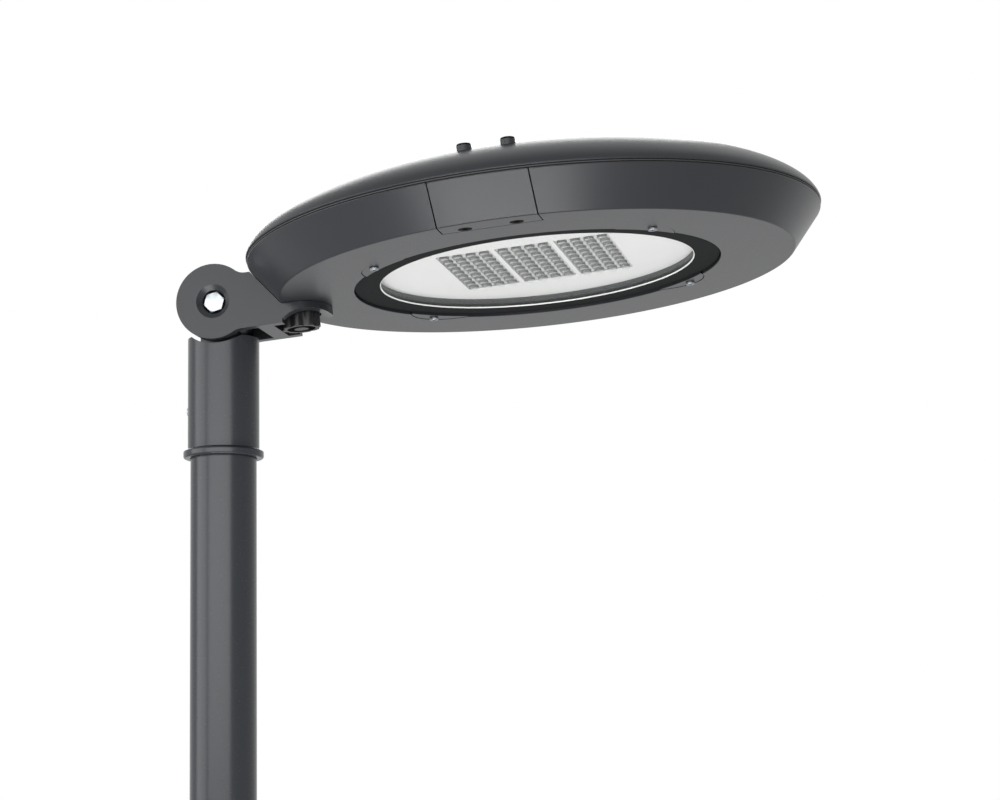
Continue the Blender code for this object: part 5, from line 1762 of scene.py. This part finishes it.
@dataclass
class LightEngine(Assembly):
    """White plate with three strips of lenses, and the boards and spreader behind them."""

    plate_low: float = 0.0120
    plate_thick: float = 0.0012
    plate_play: float = 0.0005
    strip_pitch: float = 0.053
    strip_width: float = 0.048
    strip_length: float = 0.147
    corner: float = 0.0015
    columns: int = 4
    rows: int = 9
    lens_share: Point = (0.92, 0.90)
    lens_height: float = 0.0036
    lens_root: float = 0.15
    waist_width: float = 0.34
    waist_depth: Point = (0.20, 0.24)
    board_low: float = 0.0135
    board_thick: float = 0.0016
    board_lap: float = 0.002
    # Size, tips, bow and depth of the painted crescent shades in the lens sheets
    shade_reach: float = 0.82
    shade_tip: float = 20.0
    shade_bow: float = 0.50
    shade_depth: Point = (-0.0010, 0.0008)
    spreader_low: float = 0.0154
    spreader_thick: float = 0.004
    spreader_radius: float = 0.160

    def build(self) -> None:
        """Builds the light engine."""
        self.build_plate()
        for i in range(3):
            self.build_strip(i + 1, (i - 1) * self.strip_pitch)
        high = self.spreader_low + self.spreader_thick
        spreader = Stock.lathed(disc_section(self.spreader_radius, self.spreader_low, high, 0.0005), 144)
        self.piece(spreader, "spreader", Body.HEAD, MILLED, ["heat_spreader"], SIZES.head())

    def build_plate(self) -> None:
        """White plate with a cut-out for each strip."""
        radius = SIZES.window_radius - self.plate_play
        high = self.plate_low + self.plate_thick
        plate = Stock.lathed(disc_section(radius, self.plate_low, high, 0.0002), SIZES.round_steps)
        half_x = self.strip_width / 2 + SIZES.gap
        half_y = self.strip_length / 2 + SIZES.gap
        plate.cut(
            *(
                Stock.block((x - half_x, x + half_x), (-half_y, half_y), (0, 2 * self.plate_low), self.corner)
                for x in (-self.strip_pitch, 0.0, self.strip_pitch)
            )
        )
        self.piece(
            plate, "white_plate", Body.HEAD, WHITE_PAINT, ["reflector_plate"], SIZES.head(), edge=0.0002
        )

    def lens(self) -> Stock:
        """One lens: a waisted dome that hangs from the sheet."""
        wide, long = self.lens_half()
        angles = [math.radians(a) for a in (0, 22, 42, 60, 76, 90)]
        dome = [(math.sin(a), -math.cos(a)) for a in angles]
        body = Stock.turned(dome + [(1.0, self.lens_root), (0.0, self.lens_root)], 20)
        narrower, lower = self.waist_depth

        def waisted(point: Vector) -> Vector:
            """Draws the dome in at its waist.

            Args:
                point: a point of the dome, with a radius of 1.

            Returns:
                Its new place.
            """
            waist = math.exp(-((point.y / self.waist_width) ** 2))
            height = self.lens_height * (1 - lower * waist if point.z < 0 else 1)
            return Vector((point.x * wide * (1 - narrower * waist), point.y * long, point.z * height))

        return body.shaped(waisted)

    def build_strip(self, number: int, x: float) -> None:
        """A moulded sheet of lenses and the LED board behind it.

        Args:
            number: the strip's number, counted from the post.
            x: its place across the head.
        """
        half_x, half_y = self.strip_width / 2, self.strip_length / 2
        pitch_x = self.strip_width / self.columns
        pitch_y = self.strip_length / self.rows
        places = [
            (x - half_x + (c + 0.5) * pitch_x, -half_y + (r + 0.5) * pitch_y)
            for c in range(self.columns) for r in range(self.rows)
        ]
        high = self.plate_low + self.plate_thick
        sheet = Stock.block((x - half_x, x + half_x), (-half_y, half_y), (self.plate_low, high), self.corner)
        sheet.join(
            Stock.gathered(self.lens().moved(Matrix.Translation((*at, self.plate_low))) for at in places)
        )
        self.piece(sheet, f"lens_sheet_{number}", Body.HEAD, ACRYLIC, [f"lens_array_{number}"], SIZES.head())
        lap = self.board_lap
        board = Stock.block(
            (x - half_x - lap, x + half_x + lap), (-half_y - lap, half_y + lap),
            (self.board_low, self.board_low + self.board_thick), self.corner,
        )
        self.piece(
            board, f"chip_board_{number}", Body.HEAD, SOLDER_MASK, [f"led_board_{number}"], SIZES.head()
        )
        # Painted shade: a dark crescent at the front of every lens
        crescent_shades = Stock.gathered(self.painted_crescent().moved(Matrix.Translation((*at, self.plate_low))) for at in places)
        self.piece(crescent_shades, f"lens_painted_shades_{number}", Body.HEAD, LENS_CRESCENT_SHADE, place=SIZES.head())

    def painted_crescent(self) -> Stock:
        """Painted shade: a dark crescent in the sheet round the front half of one lens, standing in for the
        dark refraction seen there.
        """
        end = Vector(arc((0.0, 0.0), 1.0, 0.0, self.shade_tip, 1)[1])
        middle = Vector((0.0, self.shade_bow))
        lean = math.degrees(math.atan2(end.y - middle.y, end.x))
        outline = arc((0.0, 0.0), 1.0, -180 - self.shade_tip, self.shade_tip, 14)
        outline += arc(middle.to_tuple(), (end - middle).length, lean, -180 - lean, 10)[1:-1]
        wide, long = self.lens_half()
        spread = Matrix.Diagonal((wide * self.shade_reach, long * self.shade_reach, 1, 1))
        return Stock.pressed(outline, *self.shade_depth).moved(spread)

    def lens_half(self) -> Point:
        """Half the width and half the length of a lens."""
        wide, long = self.lens_share
        return wide * self.strip_width / self.columns / 2, long * self.strip_length / self.rows / 2


@dataclass
class Gear(Assembly):
    """Driver, surge protector and terminals inside the head."""

    tray_half_x: float = 0.12
    tray_half_y: float = 0.06
    tray_low: float = 0.0197
    tray_fold: float = 0.012
    tray_sheet: float = 0.002
    driver: Triple = (0.150, 0.085, 0.032)
    ribs: int = 9
    rib_start: float = 0.02
    rib_pitch: float = 0.0138
    rib: Triple = (0.003, 0.066, 0.0012)
    surge: Triple = (0.050, 0.040, 0.026)
    panel: Triple = (0.038, 0.028, 0.0008)
    case_round: float = 0.003
    space: float = 0.012
    terminal: Triple = (0.024, 0.018, 0.015)
    terminal_back: float = -0.194
    terminal_screw: Point = (0.0022, 0.002)

    def build(self) -> None:
        """Builds the gear."""
        low, half, sheet = self.tray_low, self.tray_half_y, self.tray_sheet
        section = softened(
            [
                (-half, low + self.tray_fold, 0.0005), (-half, low, 0.0028), (half, low, 0.0028),
                (half, low + self.tray_fold, 0.0005), (half - sheet, low + self.tray_fold, 0.0005),
                (half - sheet, low + sheet, 0.001), (-half + sheet, low + sheet, 0.001),
                (-half + sheet, low + self.tray_fold, 0.0005),
            ]
        )
        along = Matrix.Rotation(math.pi / 2, 4, "Z") @ FACING_FRONT
        tray = Stock.pressed(section, -self.tray_half_x, self.tray_half_x).moved(along)
        self.piece(tray, "folded_tray", Body.HEAD, GALVANISED, ["gear_tray"], SIZES.head())
        seat = low + sheet + SIZES.gap
        run = self.driver[0] + self.space + self.surge[0]
        first = -run / 2
        ribs = [(first + self.rib_start + i * self.rib_pitch, self.rib, 0.0014) for i in range(self.ribs)]
        driver = self.case(first + self.driver[0] / 2, self.driver, seat, ribs)
        self.piece(driver, "driver_case", Body.HEAD, MILLED, ["led_driver"], SIZES.head(), edge=0.0004)
        middle = (run - self.surge[0]) / 2
        surge = self.case(middle, self.surge, seat, [(middle, self.panel, 0.002)])
        self.piece(surge, "surge_case", Body.HEAD, GREY_ABS, ["surge_protector"], SIZES.head(), edge=0.0003)
        self.build_terminals()

    def case(self, x: float, size: Triple, seat: float, sunk: list[tuple[float, Triple, float]]) -> Stock:
        """A rounded case with panels sunk in its top.

        Args:
            x: the case's middle across the head.
            size: its length, width and height.
            seat: height of its underside.
            sunk: middle, size and corner radius of each panel.

        Returns:
            The case.
        """
        long, wide, tall = (size[0] / 2, size[1] / 2, size[2])
        made = Stock.block((x - long, x + long), (-wide, wide), (seat, seat + tall))
        tools = []
        for at, (length, width, depth), corner in sunk:
            across = (at - length / 2, at + length / 2)
            tools.append(Stock.block(across, (-width / 2, width / 2), (seat + tall - depth, 1), corner))
        return made.rounded(self.case_round, 4).cut(*tools)

    def build_terminals(self) -> None:
        """Three-pole terminal block on the shelf behind the side lid."""
        long, deep, tall = self.terminal
        low = SIZES.shelf_top + SIZES.gap
        back = self.terminal_back
        block = Stock.block((-long / 2, long / 2), (back - deep, back), (low, low + tall)).rounded(0.0008, 2)
        pitch = long / 3
        tools = []
        for i in range(3):
            x = (i - 1) * pitch
            mouth = rectangle((x - pitch / 3, x + pitch / 3), (low + tall / 4, low + tall * 0.7), 0.0008, 3)
            tools.append(Stock.pressed(mouth, deep / 2 - back, 2 * deep - back).moved(FACING_FRONT))
            radius, depth = self.terminal_screw
            tools.append(Stock.pressed(disc(radius, 20, (x, back - deep * 0.55)), low + tall - depth, 1))
        block.cut(*tools)
        self.piece(block, "terminals", Body.HEAD, GREY_ABS, ["terminal_block"], SIZES.head(), edge=0.0002)


@dataclass
class Studio:
    """Pale floor, soft light, white surroundings and the camera at the picture's viewing angle."""

    eye: Triple = (0.7676, -2.6029, 2.9736)
    yaw: float = 11.1
    pitch: float = 9.2
    roll: float = -0.8
    lens: float = 108.0
    sensor: float = 36.0
    surround: float = 0.25
    floor_white: float = 0.6
    floor_radius: float = 14.0

    def build(self) -> None:
        """Sets up floor, light and camera."""
        bpy.context.scene.view_settings.view_transform = "Standard"
        self.set_surroundings()
        self.lay_floor()
        self.hang_lights()
        self.place_camera()

    def set_surroundings(self) -> None:
        """White for sight, mirror and glass rays, dimmer as a light."""
        world = bpy.data.worlds.new("white_studio")
        bpy.context.scene.world = world
        world.use_nodes = True
        tree = world.node_tree
        tree.nodes.clear()
        light = add_node(tree, "ShaderNodeBackground", {"Color": (1, 1, 1, 1), "Strength": self.surround})
        white = add_node(tree, "ShaderNodeBackground", {"Color": (1, 1, 1, 1), "Strength": 1.0})
        mixed = add_node(
            tree, "ShaderNodeMixShader", None, {0: self.seen(tree), 1: light.outputs[0], 2: white.outputs[0]}
        )
        add_node(tree, "ShaderNodeOutputWorld", None, {"Surface": mixed.outputs[0]})

    def lay_floor(self) -> None:
        """A wide pale floor that takes the shadow."""
        bm = bmesh.new()
        bmesh.ops.create_circle(bm, cap_ends=True, radius=self.floor_radius, segments=96)
        mesh = bpy.data.meshes.new("studio_floor")
        bm.to_mesh(mesh)
        bm.free()
        floor = bpy.data.objects.new("studio_floor", mesh)
        bpy.context.scene.collection.objects.link(floor)
        mesh.materials.append(self.floor_paint())

    def floor_paint(self) -> bpy.types.Material:
        """Pale paint that is mostly white to sight, mirror and glass rays, and keeps a soft shadow."""
        finish = Finish(
            "pale_floor_paint", "", "#f0f0f0", "#f4f4f4", roughness=0.8, drift=2.0, grain=0.02, depth=0.0001
        )
        paint = finish.material()
        tree = paint.node_tree
        lit = tree.nodes["Principled BSDF"].outputs[0]
        share = add_node(
            tree, "ShaderNodeMath", {"operation": "MULTIPLY", 1: self.floor_white}, {0: self.seen(tree)}
        ).outputs[0]
        white = add_node(tree, "ShaderNodeEmission", {"Color": (1, 1, 1, 1), "Strength": 1.0}).outputs[0]
        mixed = add_node(tree, "ShaderNodeMixShader", None, {0: share, 1: lit, 2: white})
        tree.links.new(mixed.outputs[0], tree.nodes["Material Output"].inputs["Surface"])
        return paint

    def seen(self, tree: Tree) -> Socket:
        """Picks out the rays by which the surroundings are seen, straight, in a mirror or through glass.

        Args:
            tree: the node tree of the surroundings.

        Returns:
            A socket that gives 1 for those rays and 0 for the others.
        """
        ray = add_node(tree, "ShaderNodeLightPath").outputs
        either = ray["Is Camera Ray"]
        for kind in ("Is Glossy Ray", "Is Transmission Ray"):
            more = add_node(tree, "ShaderNodeMath", {"operation": "MAXIMUM"}, {0: either, 1: ray[kind]})
            either = more.outputs[0]
        return either

    def hang_lights(self) -> None:
        """Soft boxes in front, on the left, low in front and behind, and a weak one above."""
        self.soft_box("front_box", (0.13, -3.6, 3.75), (0.05, 0.0, 3.4), (5.8, 1.3), 150.0)
        self.soft_box("left_box", (-2.55, -1.2, 3.6), (0.0, 0.0, 3.4), (2.2, 1.4), 44.0)
        self.soft_box("low_box", (0.3, -1.2, 1.3), (0.29, -0.2, 3.5), (2.1, 0.6), 54.0)
        self.soft_box("back_box", (-1.0, 3.6, 5.4), (0.1, 0.0, 2.2), (2.4, 2.0), 80.0)
        self.soft_box("top_box", (0.3, 0.6, 6.2), (0.3, 0.0, 3.4), (3.0, 3.0), 8.0)

    def soft_box(self, name: str, place: Triple, target: Triple, size: Point, power: float) -> None:
        """Hangs a rectangular soft box.

        Args:
            name: its name.
            place: its middle.
            target: the point it faces.
            size: its width and height.
            power: its power in watts.
        """
        light = bpy.data.lights.new(name, "AREA")
        light.shape = "RECTANGLE"
        light.size, light.size_y = size
        light.energy = power
        lamp = bpy.data.objects.new(name, light)
        aim = (Vector(target) - Vector(place)).to_track_quat("-Z", "Y").to_matrix().to_4x4()
        lamp.matrix_world = Matrix.Translation(place) @ aim
        bpy.context.scene.collection.objects.link(lamp)

    def place_camera(self) -> None:
        """Camera at the picture's viewing angle."""
        data = bpy.data.cameras.new("picture_camera")
        data.lens = self.lens
        data.sensor_width = self.sensor
        camera = bpy.data.objects.new("picture_camera", data)
        camera.matrix_world = (
            Matrix.Translation(self.eye)
            @ Matrix.Rotation(math.radians(self.yaw), 4, "Z")
            @ Matrix.Rotation(math.radians(90 + self.pitch), 4, "X")
            @ Matrix.Rotation(math.radians(self.roll), 4, "Z")
        )
        bpy.context.scene.collection.objects.link(camera)
        bpy.context.scene.camera = camera


def main() -> None:
    """Builds the studio and every sub-assembly."""
    logging.basicConfig(level=logging.INFO, format="%(message)s")
    Studio().build()
    for group in (Foot, AccessDoor, Shaft, Knuckle, Neck, HeadShell, Window, LightEngine, Gear):
        group().build()


if __name__ == "__main__":
    main()
